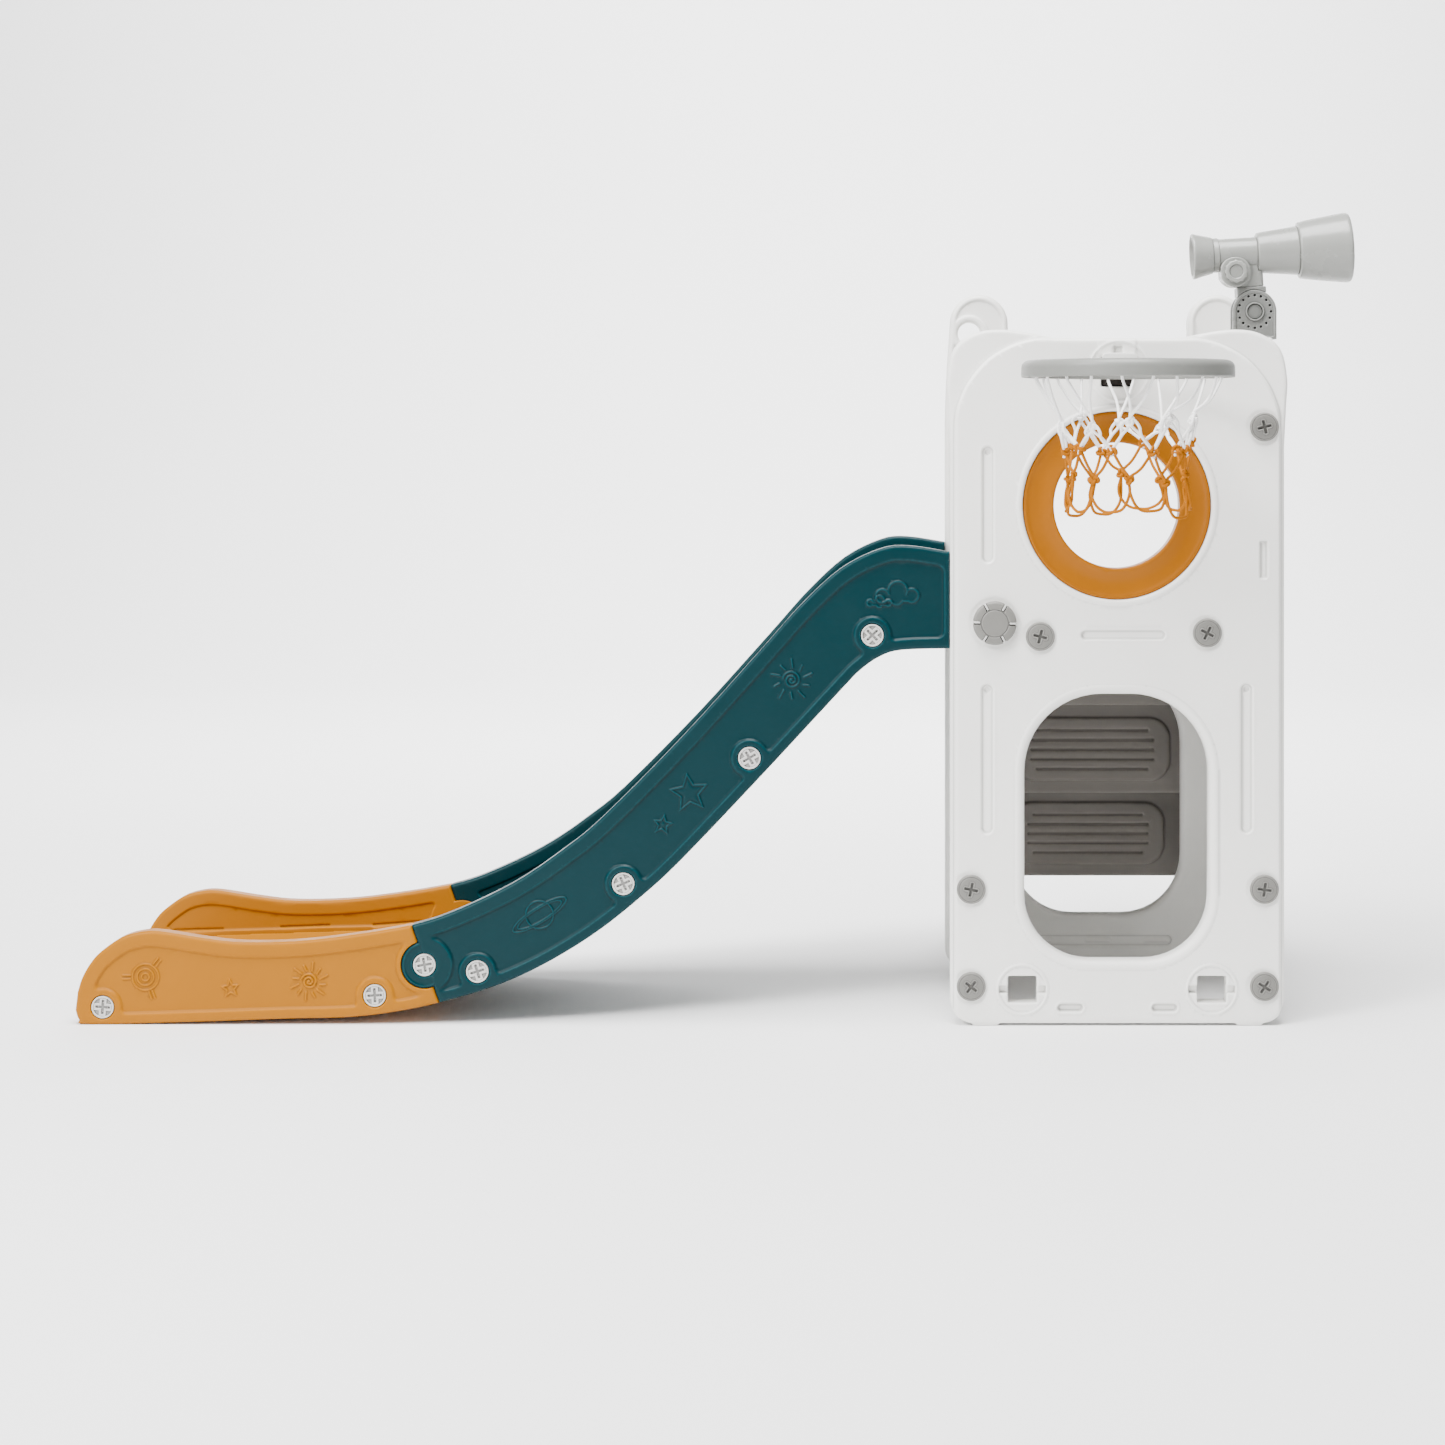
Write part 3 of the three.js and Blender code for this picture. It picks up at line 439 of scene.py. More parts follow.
def twisted_cord(name, rgb):
    """Polyester cord: soft sheen, fibres in the bump, a little soiling and painted shade in the grooves
    between its strands.
    """
    nodes = Nodes(name)
    colour = linear(*rgb)
    soil = nodes.span(nodes.noise(45.0, 3), 0.35, 0.7)
    base = nodes.mix(soil, colour, shade(colour, 0.9))
    # Painted shade in the grooves between the strands.
    base = nodes.mix(nodes.span(nodes.wear_and_shading(), 0.0, -0.6, 0.0, 0.6), base, shade(colour, 0.6))
    nodes.link(base, nodes.shader.inputs["Base Color"])
    gloss = nodes.span(nodes.noise(300.0, 2), 0.3, 0.7, 0.6, 0.85)
    nodes.link(gloss, nodes.shader.inputs["Roughness"])
    fibres = nodes.bump(nodes.noise(2600.0, 3), 0.0002, 0.8)
    nodes.link(fibres, nodes.shader.inputs["Normal"])
    nodes.shader.inputs["Specular IOR Level"].default_value = 0.1
    return nodes.material


def clear_lens(name):
    """A clear lens with faint dust."""
    nodes = Nodes(name)
    dust = nodes.span(nodes.noise(60.0, 4), 0.45, 0.75, 0.02, 0.12)
    nodes.link(dust, nodes.shader.inputs["Roughness"])
    tint = nodes.mix(nodes.noise(12.0, 2), linear(150, 175, 180), linear(175, 192, 195))
    nodes.link(tint, nodes.shader.inputs["Base Color"])
    nodes.shader.inputs["Transmission Weight"].default_value = 0.75
    nodes.shader.inputs["IOR"].default_value = 1.49
    return nodes.material


# In each plastic, the edge factor lightens edges as wear and painted highlight (most strongly on the teal),
# and the hollow factor darkens hollows with painted shade.
WHITE = plastic("white_plastic", (238, 237, 233), roughness=0.36, edge=1.04, hollow_shade=0.55)
TEAL = plastic("teal_plastic", (0, 38, 43), roughness=0.36, edge=2.8, hollow_shade=0.5, shine=0.12)
ORANGE = plastic("orange_plastic", (150, 93, 0), roughness=0.38, edge=1.35, hollow_shade=0.65, shine=0.12)
RING_ORANGE = plastic("ring_orange", (141, 82, 0), roughness=0.34, edge=1.35, hollow_shade=0.55, shine=0.15)
STEP_GREY = plastic("step_grey", (134, 129, 124), roughness=0.48, edge=1.35, hollow_shade=0.45, shine=0.3)
MID_GREY = plastic("mid_grey", (112, 111, 107), roughness=0.4, edge=1.4, hollow_shade=0.35, shine=0.3)
SCREW_GREY = plastic("screw_grey", (188, 187, 184), roughness=0.42, edge=1.2, hollow_shade=0.12, shine=0.3)
HOOP_GREY = plastic("hoop_grey", (120, 121, 117), roughness=0.36, edge=1.25, hollow_shade=0.7, shine=0.3)
BRACKET_GREY = plastic("bracket_grey", (226, 226, 222), roughness=0.38, edge=1.08, hollow_shade=0.7)
SCOPE_GREY = plastic("scope_grey", (138, 139, 135), roughness=0.24, edge=1.25, hollow_shade=0.4)
CLEVIS_GREY = plastic("clevis_grey", (110, 111, 108), roughness=0.3, edge=1.7, hollow_shade=0.3)
DARK = plastic("dark_plastic", (34, 29, 26), roughness=0.6, edge=1.3, hollow_shade=0.6, shine=0.2)
WHITE_CORD = twisted_cord("white_cord", (250, 249, 247))
ORANGE_CORD = twisted_cord("orange_cord", (168, 98, 0))
LENS = clear_lens("lens_glass")


def piece(name, mesh, material, nodes, body="frame", place=None):
    """Shows a mesh in place of the named CAD nodes, riding on a body."""
    if not mesh.materials:
        mesh.materials.append(material)
    made = bpy.data.objects.new(name, mesh)
    bpy.context.scene.collection.objects.link(made)
    if place is not None:
        made.matrix_world = place
    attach(made, body)
    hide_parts(*nodes)
    return made


# ---------------------------------------------------------------- tower
def tunnel_hole(u, v):
    """The crawl hole: wide corners, rounder at the top."""
    low, high = TUNNEL["low_corner"], TUNNEL["high_corner"]
    left, right, bottom, top = (TUNNEL[k] for k in ("left", "right", "bottom", "top"))
    outline = (
        arc(left + low, bottom + low, low, 180, 270) + arc(right - low, bottom + low, low, 270, 360)
        + arc(right - high, top - high, high, 0, 90) + arc(left + high, top - high, high, 90, 180)
    )
    return polygon(u, v, outline)


def pill(u, v, x, z, width, height):
    half_width, half_height = width / 2, height / 2
    corner = min(width, height) / 2
    return rectangle(u, v, x - half_width, x + half_width, z - half_height, z + half_height, corner)


def feet(grid, front):
    """The two pads that a panel stands on."""
    pads = [rectangle(grid.x, grid.y, x, x + 39, front + 3, front + THICKNESS - 3, 3) for x in (32, 415)]
    return both(np.minimum(*pads), np.abs(grid.z - 6) - 6, 1.2)


def front_relief(u, v):
    """How far the front face stands out, negative where it is sunk."""
    side = spline(ARCH_EDGE, 24)
    arch = polygon(u, v, [(6.5, -60), (TOWER_WIDTH - 6.5, -60)] + mirrored(side)[::-1] + side[::-1])
    height = -6.5 * (1 - rise(arch, 5))
    for post in POSTS:
        slot = pill(u, v, *post)
        height -= 4.6 * rise(slot, 3.2)
        height += 0.9 * ridge(slot - 2.6, 0.8, 2.4)
        top = (post[0], post[1] + post[3] / 2 - post[2] / 2)
        height -= 2.2 * rise(disc(u, v, top, 4.6), 2)
    bar = pill(u, v, 251, 567, 121, 13)
    height -= 3.6 * rise(bar, 2.6)
    height += 1.1 * ridge(bar - 2.2, 1.0, 2.0)
    for x in (174.3, 311):
        low_slot = pill(u, v, x, 26.5, 36, 11)
        height -= 5 * rise(low_slot, 2.4)
        height += 1.6 * ridge(low_slot - 2.4, 1.4, 1.8)
    tab = rectangle(u, v, 449.6, 459.6, 649.5, 703, 1.5)
    height -= 5 * rise(tab, 2)
    height += 0.8 * ridge(tab - 2, 0.8, 1.8)
    surround = disc(u, v, WINDOW, 142)
    height += 2.0 * ridge(surround, 3.4, 3.4)
    hoop_circle = disc(u, v, (245, 950), 43.5)
    height += 1.6 * ridge(hoop_circle, 1.5, 2.4)
    height += 1.5 * rise(rectangle(u, v, 214.6, 269.7, 972, 1010, 3), 2.4)
    height -= 4.5 * rise(rectangle(u, v, 237, 250, 975, 986, 1), 1.6)
    for x in SOCKET_CENTRES:
        height += 2.0 * ridge(disc(u, v, (x, SOCKET_HEIGHT), 35.8), 1.6, 2.2)
        hole = rectangle(u, v, x - 21, x + 21, SOCKET_HEIGHT - 19.5, SOCKET_HEIGHT + 19.5, 2)
        height += 1.0 * ridge(hole - 2, 1.2, 1.8)
    height += 1.3 * rise(tunnel_hole(u, v) - 13, 2.6)
    for place in PANEL_SCREWS:
        height -= 1.0 * rise(disc(u, v, place, 25), 3)
    height -= 1.0 * rise(disc(u, v, LOCK_KNOB, 36.5), 3)
    return height


def front_crease_shade(u, v):
    """Painted shade along the creases of the front face, the thin dark lines that its relief throws."""
    painted_shade = 0.9 * ridge(pill(u, v, 251, 567, 121, 13) + 0.5, 0.9, 1.4)
    for post in POSTS:
        painted_shade += 0.35 * ridge(pill(u, v, *post), 0.9, 1.6)
    for x in (174.3, 311):
        painted_shade += 0.5 * ridge(pill(u, v, x, 26.5, 36, 11), 0.9, 1.6)
    painted_shade += 0.4 * ridge(rectangle(u, v, 449.6, 459.6, 649.5, 703, 1.5), 0.9, 1.6)
    painted_shade += 0.5 * rise(rectangle(u, v, 237, 250, 975, 986, 1), 1.6)
    for x in SOCKET_CENTRES:
        painted_shade += 0.35 * ridge(disc(u, v, (x, SOCKET_HEIGHT), 32.4), 0.8, 1.6)
    painted_shade += 0.3 * ridge(tunnel_hole(u, v) - 14.5, 0.8, 1.6)
    painted_shade += 0.35 * ridge(disc(u, v, WINDOW, 137), 0.8, 1.6)
    painted_shade += 0.3 * ridge(disc(u, v, WINDOW, 147), 0.8, 1.6)
    return painted_shade


def front_panel():
    grid = Grid((-5, -3, 0), (TOWER_WIDTH + 5, THICKNESS, 1011), PANEL_STEP)
    u, v = grid.x[:, 0], grid.z[0]
    edge = spline(EAR_EDGE, 28)
    left, right = FRONT_CORNER, TOWER_WIDTH - FRONT_CORNER
    outline = (
        arc(left, FOOT_HEIGHT + left, left, 180, 270) + arc(right, FOOT_HEIGHT + left, left, 270, 360)
        + mirrored(edge)[::-1] + edge[::-1]
    )
    body = polygon(u, v, outline)
    back = THICKNESS - 3.0 * rise(np.maximum(body + 26, -tunnel_hole(u, v) + 22), 6)
    slab = np.maximum(-front_relief(u, v)[:, None] - grid.y, grid.y - back[:, None])
    field = both(body[:, None], slab, 6)
    field = less(field, disc(u, v, WINDOW, WINDOW_HOLE)[:, None], 3)
    seat = disc(u, v, WINDOW, WINDOW_SEAT)[:, None]
    field = less(field, np.maximum(seat, grid.y - 12), 2)
    field = less(field, tunnel_hole(u, v)[:, None], 11)
    for x in SOCKET_CENTRES:
        hole = rectangle(u, v, x - 21, x + 21, SOCKET_HEIGHT - 19.5, SOCKET_HEIGHT + 19.5, 2)
        notch = rectangle(u, v, x - 34, x + 34, SOCKET_HEIGHT - 5.5, SOCKET_HEIGHT + 5.5, 1)
        field = less(field, hole[:, None], 1.4)
        field = less(field, np.maximum(notch[:, None], grid.y - 8), 0.8)
    left, right, bottom, top, depth = HOOP_SOCKET.values()
    socket = rectangle(u, v, left, right, bottom, top, 1.5)
    field = less(field, np.maximum(socket[:, None], grid.y - depth), 1.2)
    field = np.minimum(field, feet(grid, 0))
    mesh = moulded("front_panel_shell", grid, field, PANEL_MERGE, painted_shade=front_crease_shade(u, v))
    piece("moulded_front_panel", mesh, WHITE, ["front_panel"])


def back_outline():
    """The back panel's edge: two posts with round ears, open between them above the deck."""
    x, z, radius = BACK_EAR
    sill, corner = 100, 40
    post = (
        spline([(0, 880), (2.5, 950), (x - radius, z)], 8)[:-1] + arc(x, z, radius, 180, 0, 28)
        + arc(sill + corner, DECK_TOP + corner, corner, 180, 270)
    )
    low = BACK_CORNER
    return (
        arc(low, FOOT_HEIGHT + low, low, 180, 270)
        + arc(TOWER_WIDTH - low, FOOT_HEIGHT + low, low, 270, 360) + mirrored(post)[::-1] + post[::-1]
    )


def back_panel():
    front = TOWER_DEPTH - THICKNESS
    grid = Grid((-5, front, 0), (TOWER_WIDTH + 5, TOWER_DEPTH, 1080), PANEL_STEP)
    u, v = grid.x[:, 0], grid.z[0]
    body = polygon(u, v, back_outline())
    x, z, radius = BACK_GRIP
    grip = disc(u, v, (x, z), radius)
    hole = tunnel_hole(u, v)
    posts = np.minimum(rectangle(u, v, 18, 82, 640, 960, 22), rectangle(u, v, 404, 468, 640, 960, 22))
    field_edge = np.maximum(body + 9, np.maximum(11 - grip, 26 - hole))
    outer = -3.0 * rise(np.maximum(field_edge, 12 + posts), 4)
    outer = outer - 3.5 * rise(posts, 4)
    outer -= 4.0 * rise(pill(u, v, 243, 530, 200, 14), 3)
    for place in PANEL_SCREWS:
        outer += 2.6 * rise(disc(u, v, place, 27), 4)
    inner = -2.6 * rise(np.maximum(body + 9, 11 - grip), 4)
    inner -= 3.5 * rise(pill(u, v, 243, 54, 236, 17), 3)
    for x in (150, 243, 336):
        inner += 2.0 * rise(pill(u, v, x, 54, 40, 4), 2)
    slab = np.maximum(front - inner[:, None] - grid.y, grid.y - TOWER_DEPTH - outer[:, None])
    field = both(body[:, None], slab, 7)
    field = less(field, hole[:, None], 9)
    field = less(field, grip[:, None], 6)
    field = np.minimum(field, feet(grid, front))
    mesh = moulded("back_panel_shell", grid, field, PANEL_MERGE)
    piece("moulded_back_panel", mesh, WHITE, ["back_panel"])


def upright(name, middle, bottom, top):
    """A panel across the tower's depth, with a sunk field and two ribs on both faces."""
    half = THICKNESS / 2
    front, back = THICKNESS + GAP, TOWER_DEPTH - THICKNESS - GAP
    grid = Grid((middle - half, front, bottom), (middle + half, back, top), BULK_STEP)
    u, v = grid.y[0], grid.z[0]
    body = rectangle(u, v, front, back, bottom, top, 5)
    depth = 4.0 * rise(rectangle(u, v, front + 26, back - 26, bottom + 26, top - 26, 30), 5)
    span = back - front
    for share in (0.34, 0.66):
        rib = pill(u, v, front + share * span, (bottom + top) / 2, 16, (top - bottom) - 110)
        depth -= 3.2 * rise(rib, 5)
    face = np.abs(grid.x - middle) - half + depth[None]
    field = both(body[None], face, 5)
    piece("moulded_" + name, moulded(name + "_shell", grid, field), WHITE, [name])


def deck():
    """The platform, with rows of short grip ribs on top and a ribbed underside."""
    front, back = THICKNESS + GAP, TOWER_DEPTH - THICKNESS - GAP
    left, right = TONGUE + GAP, TOWER_WIDTH - 8
    low = DECK_TOP - DECK_THICKNESS
    grid = Grid((left, front, low), (right, back, DECK_TOP + 2), BULK_STEP)
    u, v = grid.x[:, :, 0], grid.y[0].T
    body = rectangle(u, v, left, right, front, back, 6)
    pitch = 30
    row = np.floor((v - front) / pitch)
    shift = (u - left + row % 2 * pitch / 2) % pitch - pitch / 2
    rib = np.maximum(np.abs(shift) - 8, 0)
    ribs = np.hypot(rib, (v - front) % pitch - pitch / 2) - 3
    inside = rise(body + 16, 4)
    top = DECK_TOP - 1.6 + 1.6 * rise(ribs, 3) * inside + 1.2 * (1 - rise(body + 10, 5))
    under = low + 5 * rise(np.maximum(body + 14, 9 - np.abs((u - left) % 95.6 - 47.8)), 5)
    slab = np.maximum(grid.z - top[:, :, None], under[:, :, None] - grid.z)
    field = both(body[:, :, None], slab, 3)
    piece("moulded_deck", moulded("deck_shell", grid, field), STEP_GREY, ["deck"])


def window_ring():
    """The dished orange ring in the round window."""
    grid = Grid((WINDOW[0] - 136, 0, WINDOW[1] - 136), (WINDOW[0] + 136, THICKNESS, WINDOW[1] + 136), 1.15)
    radius = np.hypot(grid.x - WINDOW[0], grid.z - WINDOW[1])
    front = spline([(91.3, 5.5), (94, 3.6), (100, 4.6), (113, 6.0), (126, 4.6), (132.5, 2.4), (136, 3)], 20)
    outline = front + [(136, 11.5), (121, 11.5), (121, 35), (91.3, 35)]
    field = polygon(radius, grid.y, outline)
    mesh = moulded("window_ring_shell", grid, field)
    piece("moulded_window_ring", mesh, RING_ORANGE, ["window_ring"])


front_panel()
back_panel()
upright("lower_side_panel_left", SIDE_MIDDLE, 20, DECK_TOP - DECK_THICKNESS - GAP)
upright("lower_side_panel_right", TOWER_WIDTH - SIDE_MIDDLE, 20, DECK_TOP - DECK_THICKNESS - GAP)
upright("side_guard_panel", TOWER_WIDTH - SIDE_MIDDLE, DECK_TOP + GAP, 1000)
deck()
window_ring()


# ---------------------------------------------------------------- fasteners
def panel_screw_mesh():
    """A wide domed screw with a sunk cross; it faces -y from the origin."""
    radius = PANEL_SCREW_RADIUS
    grid = Grid((-radius, -6, -radius), (radius, 3, radius), SCREW_STEP)
    u, v = grid.x[:, 0], grid.z[0]
    from_middle = np.hypot(u, v)
    front = -6 + 1.7 * (from_middle / radius) ** 2 + 0.5 * ridge(from_middle - 17.6, 0.5, 1.2)
    arms = np.minimum(rectangle(u, v, -10, 10, -1.9, 1.9, 1.4), rectangle(u, v, -1.9, 1.9, -10, 10, 1.4))
    front = front - 0.5 * ridge(arms - 1.3, 0.7, 1.4)
    slab = np.maximum(front[:, None] - grid.y, grid.y - 2)
    field = both((from_middle - radius)[:, None], slab, 2.2)
    field = less(field, np.maximum(arms[:, None], grid.y + 2.6), 0.5)
    # The sunk cross is darkened with painted shade.
    return moulded("panel_screw_mesh", grid, field, 0.002, Matrix.Identity(4), 0.9 * rise(arms - 0.4, 1.2))


def slide_screw_mesh():
    """A flat screw with a raised rim and a raised cross that has a slot down each arm."""
    radius = SLIDE_SCREW_RADIUS
    grid = Grid((-radius, 0, -radius), (radius, 6, radius), SCREW_STEP * 0.8)
    u, v = grid.x[:, 0], grid.z[0]
    diagonal = (u + v) / math.sqrt(2), (u - v) / math.sqrt(2)
    from_middle = np.hypot(u, v)
    arm = np.minimum(np.abs(diagonal[0]), np.abs(diagonal[1])) - 5.2
    slots = np.minimum(
        rectangle(*diagonal, -10.4, 10.4, -1.8, 1.8, 1.7), rectangle(*diagonal, -1.8, 1.8, -10.4, 10.4, 1.7)
    )
    pits = np.full(from_middle.shape, 99.0)
    for a, b in ((9, 0), (-9, 0), (0, 9), (0, -9)):
        pits = np.minimum(pits, np.hypot(diagonal[0] - a, diagonal[1] - b) - 2.0)
    sunk = np.maximum(-arm, from_middle - 13.8)
    depth = 1.9 * rise(sunk, 0.9) + 2.2 * rise(slots, 0.8) + 0.9 * rise(pits, 0.8)
    depth = depth + 0.7 * rise(from_middle - 13.6, 0.9)
    slab = np.maximum(0.6 + depth[:, None] - grid.y, grid.y - 6)
    field = both((from_middle - radius)[:, None], slab, 0.9)
    # Painted shade in the sunk middle, the slots and the pits.
    painted_shade = 0.6 * rise(sunk, 1.2) + 1.1 * rise(slots - 0.3, 1) + 0.7 * rise(pits, 1.2)
    return moulded("slide_screw_mesh", grid, field, 0.002, Matrix.Identity(4), painted_shade)


def spokes(u, v):
    """The distance from three lines through the middle, 60 degrees apart."""
    angles = [math.radians(60 * turn) for turn in range(3)]
    return np.min([np.abs(u * math.sin(a) - v * math.cos(a)) for a in angles], axis=0)


def lock_knob_mesh():
    """The big knob that locks the slide: a faint middle disc and six notches through its rim."""
    radius = LOCK_KNOB_RADIUS
    grid = Grid((-radius, -13, -radius), (radius, 3, radius), SCREW_STEP * 1.3)
    u, v = grid.x[:, 0], grid.z[0]
    from_middle = np.hypot(u, v)
    front = -13 + 2.0 * np.clip((from_middle - 21) / 10, 0, 1) ** 2
    front = front + 0.9 * ridge(from_middle - 19.6, 0.8, 1.4)
    slab = np.maximum(front[:, None] - grid.y, grid.y - 2)
    field = both((from_middle - radius)[:, None], slab, 3)
    notches = np.maximum(spokes(u, v) - 2.6, 20.6 - from_middle)
    field = less(field, np.maximum(notches[:, None], grid.y - 0.5), 0.7)
    # The notches are darkened with painted shade.
    return moulded("lock_knob_mesh", grid, field, 0.002, Matrix.Identity(4), 0.9 * rise(notches - 0.6, 1.2))


def knob_ribs_mesh():
    """The six pale ribs that stand in the notches of the lock knob's rim."""
    grid = Grid((-32, -14, -32), (32, 0, 32), SCREW_STEP * 1.3)
    u, v = grid.x[:, 0], grid.z[0]
    from_middle = np.hypot(u, v)
    front = -13.6 + 2.0 * np.clip((from_middle - 21) / 10, 0, 1) ** 2
    rib = np.maximum(spokes(u, v - 0.7) - 1.4, np.maximum(21.4 - from_middle, from_middle - 31))
    field = both(rib[:, None], np.maximum(front[:, None] - grid.y, grid.y + 0.6), 0.8)
    return moulded("knob_ribs_mesh", grid, field, 0.004, Matrix.Identity(4))


def facing(side, x, z, front, back, turn=0.0):
    """Where a fastener sits: on the front face at y = front, or turned round on the back face."""
    if side in ("front", "near"):
        return Matrix.Translation(world(x, front, z)) @ Matrix.Rotation(math.radians(turn), 4, "Y")
    half_turn = Matrix.Rotation(math.pi, 4, "Z")
    return Matrix.Translation(world(x, back, z)) @ half_turn @ Matrix.Rotation(math.radians(turn), 4, "Y")


def fasteners():
    screw, knob, slide_screw = panel_screw_mesh(), lock_knob_mesh(), slide_screw_mesh()
    ribs = knob_ribs_mesh()
    for side in ("front", "back"):
        for i, ((x, z), turn) in enumerate(zip(PANEL_SCREWS, PANEL_SCREW_TURNS), 1):
            piece(f"moulded_{side}_panel_screw_{i}", screw, MID_GREY,
                  [f"{side}_panel_screw_{i}"], place=facing(side, x, z, 0, TOWER_DEPTH, turn))
        place = facing(side, *LOCK_KNOB, 0, TOWER_DEPTH, 2)
        for name, mesh, material in (("", knob, MID_GREY), ("_ribs", ribs, SCREW_GREY)):
            piece(f"moulded_lock_knob_{side}{name}", mesh, material,
                  [f"lock_knob_{side}"], f"knob_{side}", place)
    places = UPPER_SCREWS + [BOSS] + LOWER_SCREWS
    for side in ("near", "far"):
        for i, (x, z) in enumerate(places, 1):
            place = facing(side, x, z, SLIDE_FRONT, SLIDE_BACK, 0 if i == 1 else 7 * i)
            piece(f"moulded_slide_screw_{side}_{i}", slide_screw, SCREW_GREY,
                  [f"slide_screw_{side}_{i}"], place=place)


# ---------------------------------------------------------------- steps
def riser_face(step):
    return STAIR_FACE + TREAD_RUN * (2 - step)


def step_profile():
    """The bent sheet of the steps, as an outline of y and z."""
    inner = [(STAIR_FACE, STAIR_TOP)]
    outer = [(STAIR_FACE + STAIR_SHEET, STAIR_TOP)]
    for step in (2, 1, 0):
        under = TREAD_UNDERSIDES[step]
        nose = riser_face(step - 1) if step else riser_face(0) + TREAD_RUN + STAIR_SHEET
        inner += [(riser_face(step), under), (nose, under)]
        edge = nose + (STAIR_SHEET if step else 0)
        outer += [(riser_face(step) + STAIR_SHEET, under + STAIR_SHEET), (edge, under + STAIR_SHEET)]
    return inner + outer[::-1]


def stair_steps():
    """The steps: a bent sheet with grooved pads on its inner face and grip ribs on the treads."""
    left, right = MIDDLE - STAIR_HALF + GAP, MIDDLE + STAIR_HALF - GAP
    back = riser_face(0) + TREAD_RUN + STAIR_SHEET
    grid = Grid((left, STAIR_FACE - 7, TREAD_UNDERSIDES[0]), (right, back, STAIR_TOP), STAIR_STEP)
    profile = polygon(grid.y[0], grid.z[0], step_profile())
    across = np.abs(grid.x - MIDDLE) - (right - left) / 2
    for step in (0, 1, 2):
        top = TREAD_UNDERSIDES[step] + STAIR_SHEET
        depth = grid.y[0] - riser_face(step) - STAIR_SHEET
        for place in range(22, 92, 14):
            rib = np.hypot(depth - place, grid.z[0] - top + 1.5) - 3.2
            profile = either(profile, rib, 1.5)
    field = both(profile[None], across, 2.5)
    u, v = grid.x[:, 0], grid.z[0]
    for step in (1, 0):
        bottom = TREAD_UNDERSIDES[step] + 20
        pad = rectangle(u, v, MIDDLE - 127, MIDDLE + 127, bottom, bottom + 103, 34)
        groove = np.zeros_like(pad)
        for row in range(5):
            height = bottom + 20 + row * 15.75
            half = 101 if 0 < row < 4 else 92
            line = rectangle(u, v, MIDDLE - half, MIDDLE + half, height - 2.2, height + 2.2, 2.2)
            groove += 2.6 * rise(line, 2.2)
        face = riser_face(step) - 6 + groove
        slab = np.maximum(face[:, None] - grid.y, grid.y - riser_face(step) - 3)
        field = either(field, both(pad[:, None], slab, 4), 3)
    piece("moulded_stair_steps", moulded("stair_steps_shell", grid, field), STEP_GREY,
          ["stair_steps"])


def stringer(name, middle):
    """One side of the steps, sunk on both faces inside a rounded rim."""
    half = STRINGER / 2
    grid = Grid((middle - half, STAIR_FACE, 0), (middle + half, STAIR_FACE + 325, STAIR_TOP), BULK_STEP)
    outline = (
        [(STAIR_FACE, 360), (STAIR_FACE + 175, 80), (STAIR_FACE + 205, 0)]
        + arc(STAIR_FACE + 300, 20, 20, 270, 360)
        + [(STAIR_FACE + 320, 150), (STAIR_FACE + 62, STAIR_TOP - 6), (STAIR_FACE + 52, STAIR_TOP)]
        + [(STAIR_FACE, STAIR_TOP)]
    )
    body = polygon(grid.y[0], grid.z[0], outline)
    depth = 4.5 * rise(body + 17, 5)
    for step in (0, 1):
        hollow = disc(grid.y[0], grid.z[0], (riser_face(step) + 30, TREAD_UNDERSIDES[step] + 10), 20)
        depth += 4 * rise(hollow, 5)
    field = both(body[None], np.abs(grid.x - middle) - half + depth[None], 6)
    piece("moulded_" + name, moulded(name + "_shell", grid, field), STEP_GREY, [name])


# ---------------------------------------------------------------- slide
def star(u, v, x, z, radius, tilt):
    """Signed distance to a five-pointed star."""
    points = []
    for k in range(10):
        reach = radius if k % 2 == 0 else radius * 0.47
        angle = math.radians(90 + 36 * k + tilt)
        points.append((x + reach * math.cos(angle), z + reach * math.sin(angle)))
    return polygon(u, v, points)


def spiral(x, z, turns, radius, start):
    """A line that winds outwards from a middle."""
    angles = np.linspace(0, turns * 2 * math.pi, int(turns * 18))
    reach = [radius * a / angles[-1] for a in angles]
    return [(x + r * math.cos(a + start), z + r * math.sin(a + start)) for r, a in zip(reach, angles)]


def sun(u, v, x, z, core, inner, outer, rays):
    """A wound spiral with short rays round it, as one distance."""
    shape = along(u, v, spiral(x, z, 2.4, core, 0.4)) - 0.2
    for k in range(rays):
        angle = 2 * math.pi * k / rays + 0.25
        reach = outer * (1.0 if k % 2 == 0 else 0.86)
        a = (x + inner * math.cos(angle), z + inner * math.sin(angle))
        b = (x + reach * math.cos(angle + 0.08), z + reach * math.sin(angle + 0.08))
        shape = np.minimum(shape, segment(u, v, a, b))
    return shape


def cloud(u, v, x, z, width, height):
    """Signed distance to a puffy cloud with a flat base."""
    puffs = [(-0.32, 0.28, 0.3), (0.02, 0.5, 0.42), (0.33, 0.3, 0.3), (0.0, 0.18, 0.3)]
    shape = rectangle(u, v, x - width * 0.46, x + width * 0.46, z, z + height * 0.42, height * 0.2)
    for along_x, up, size in puffs:
        shape = np.minimum(shape, disc(u, v, (x + along_x * width, z + up * height), size * height * 1.15))
    return shape


def planet(u, v, x, z):
    """A ringed planet: its globe and a tilted ring, as one distance to their lines."""
    tilt = math.radians(32)
    globe = np.abs(disc(u, v, (x, z), 20))
    turns = np.linspace(0, 2 * math.pi, 44)
    shape = globe
    for scale in (1.0, 0.82):
        ring = [(x + 45 * scale * math.cos(a) * math.cos(tilt) - 11 * scale * math.sin(a) * math.sin(tilt),
                 z + 45 * scale * math.cos(a) * math.sin(tilt) + 11 * scale * math.sin(a) * math.cos(tilt))
                for a in turns]
        shape = np.minimum(shape, along(u, v, ring))
    return shape


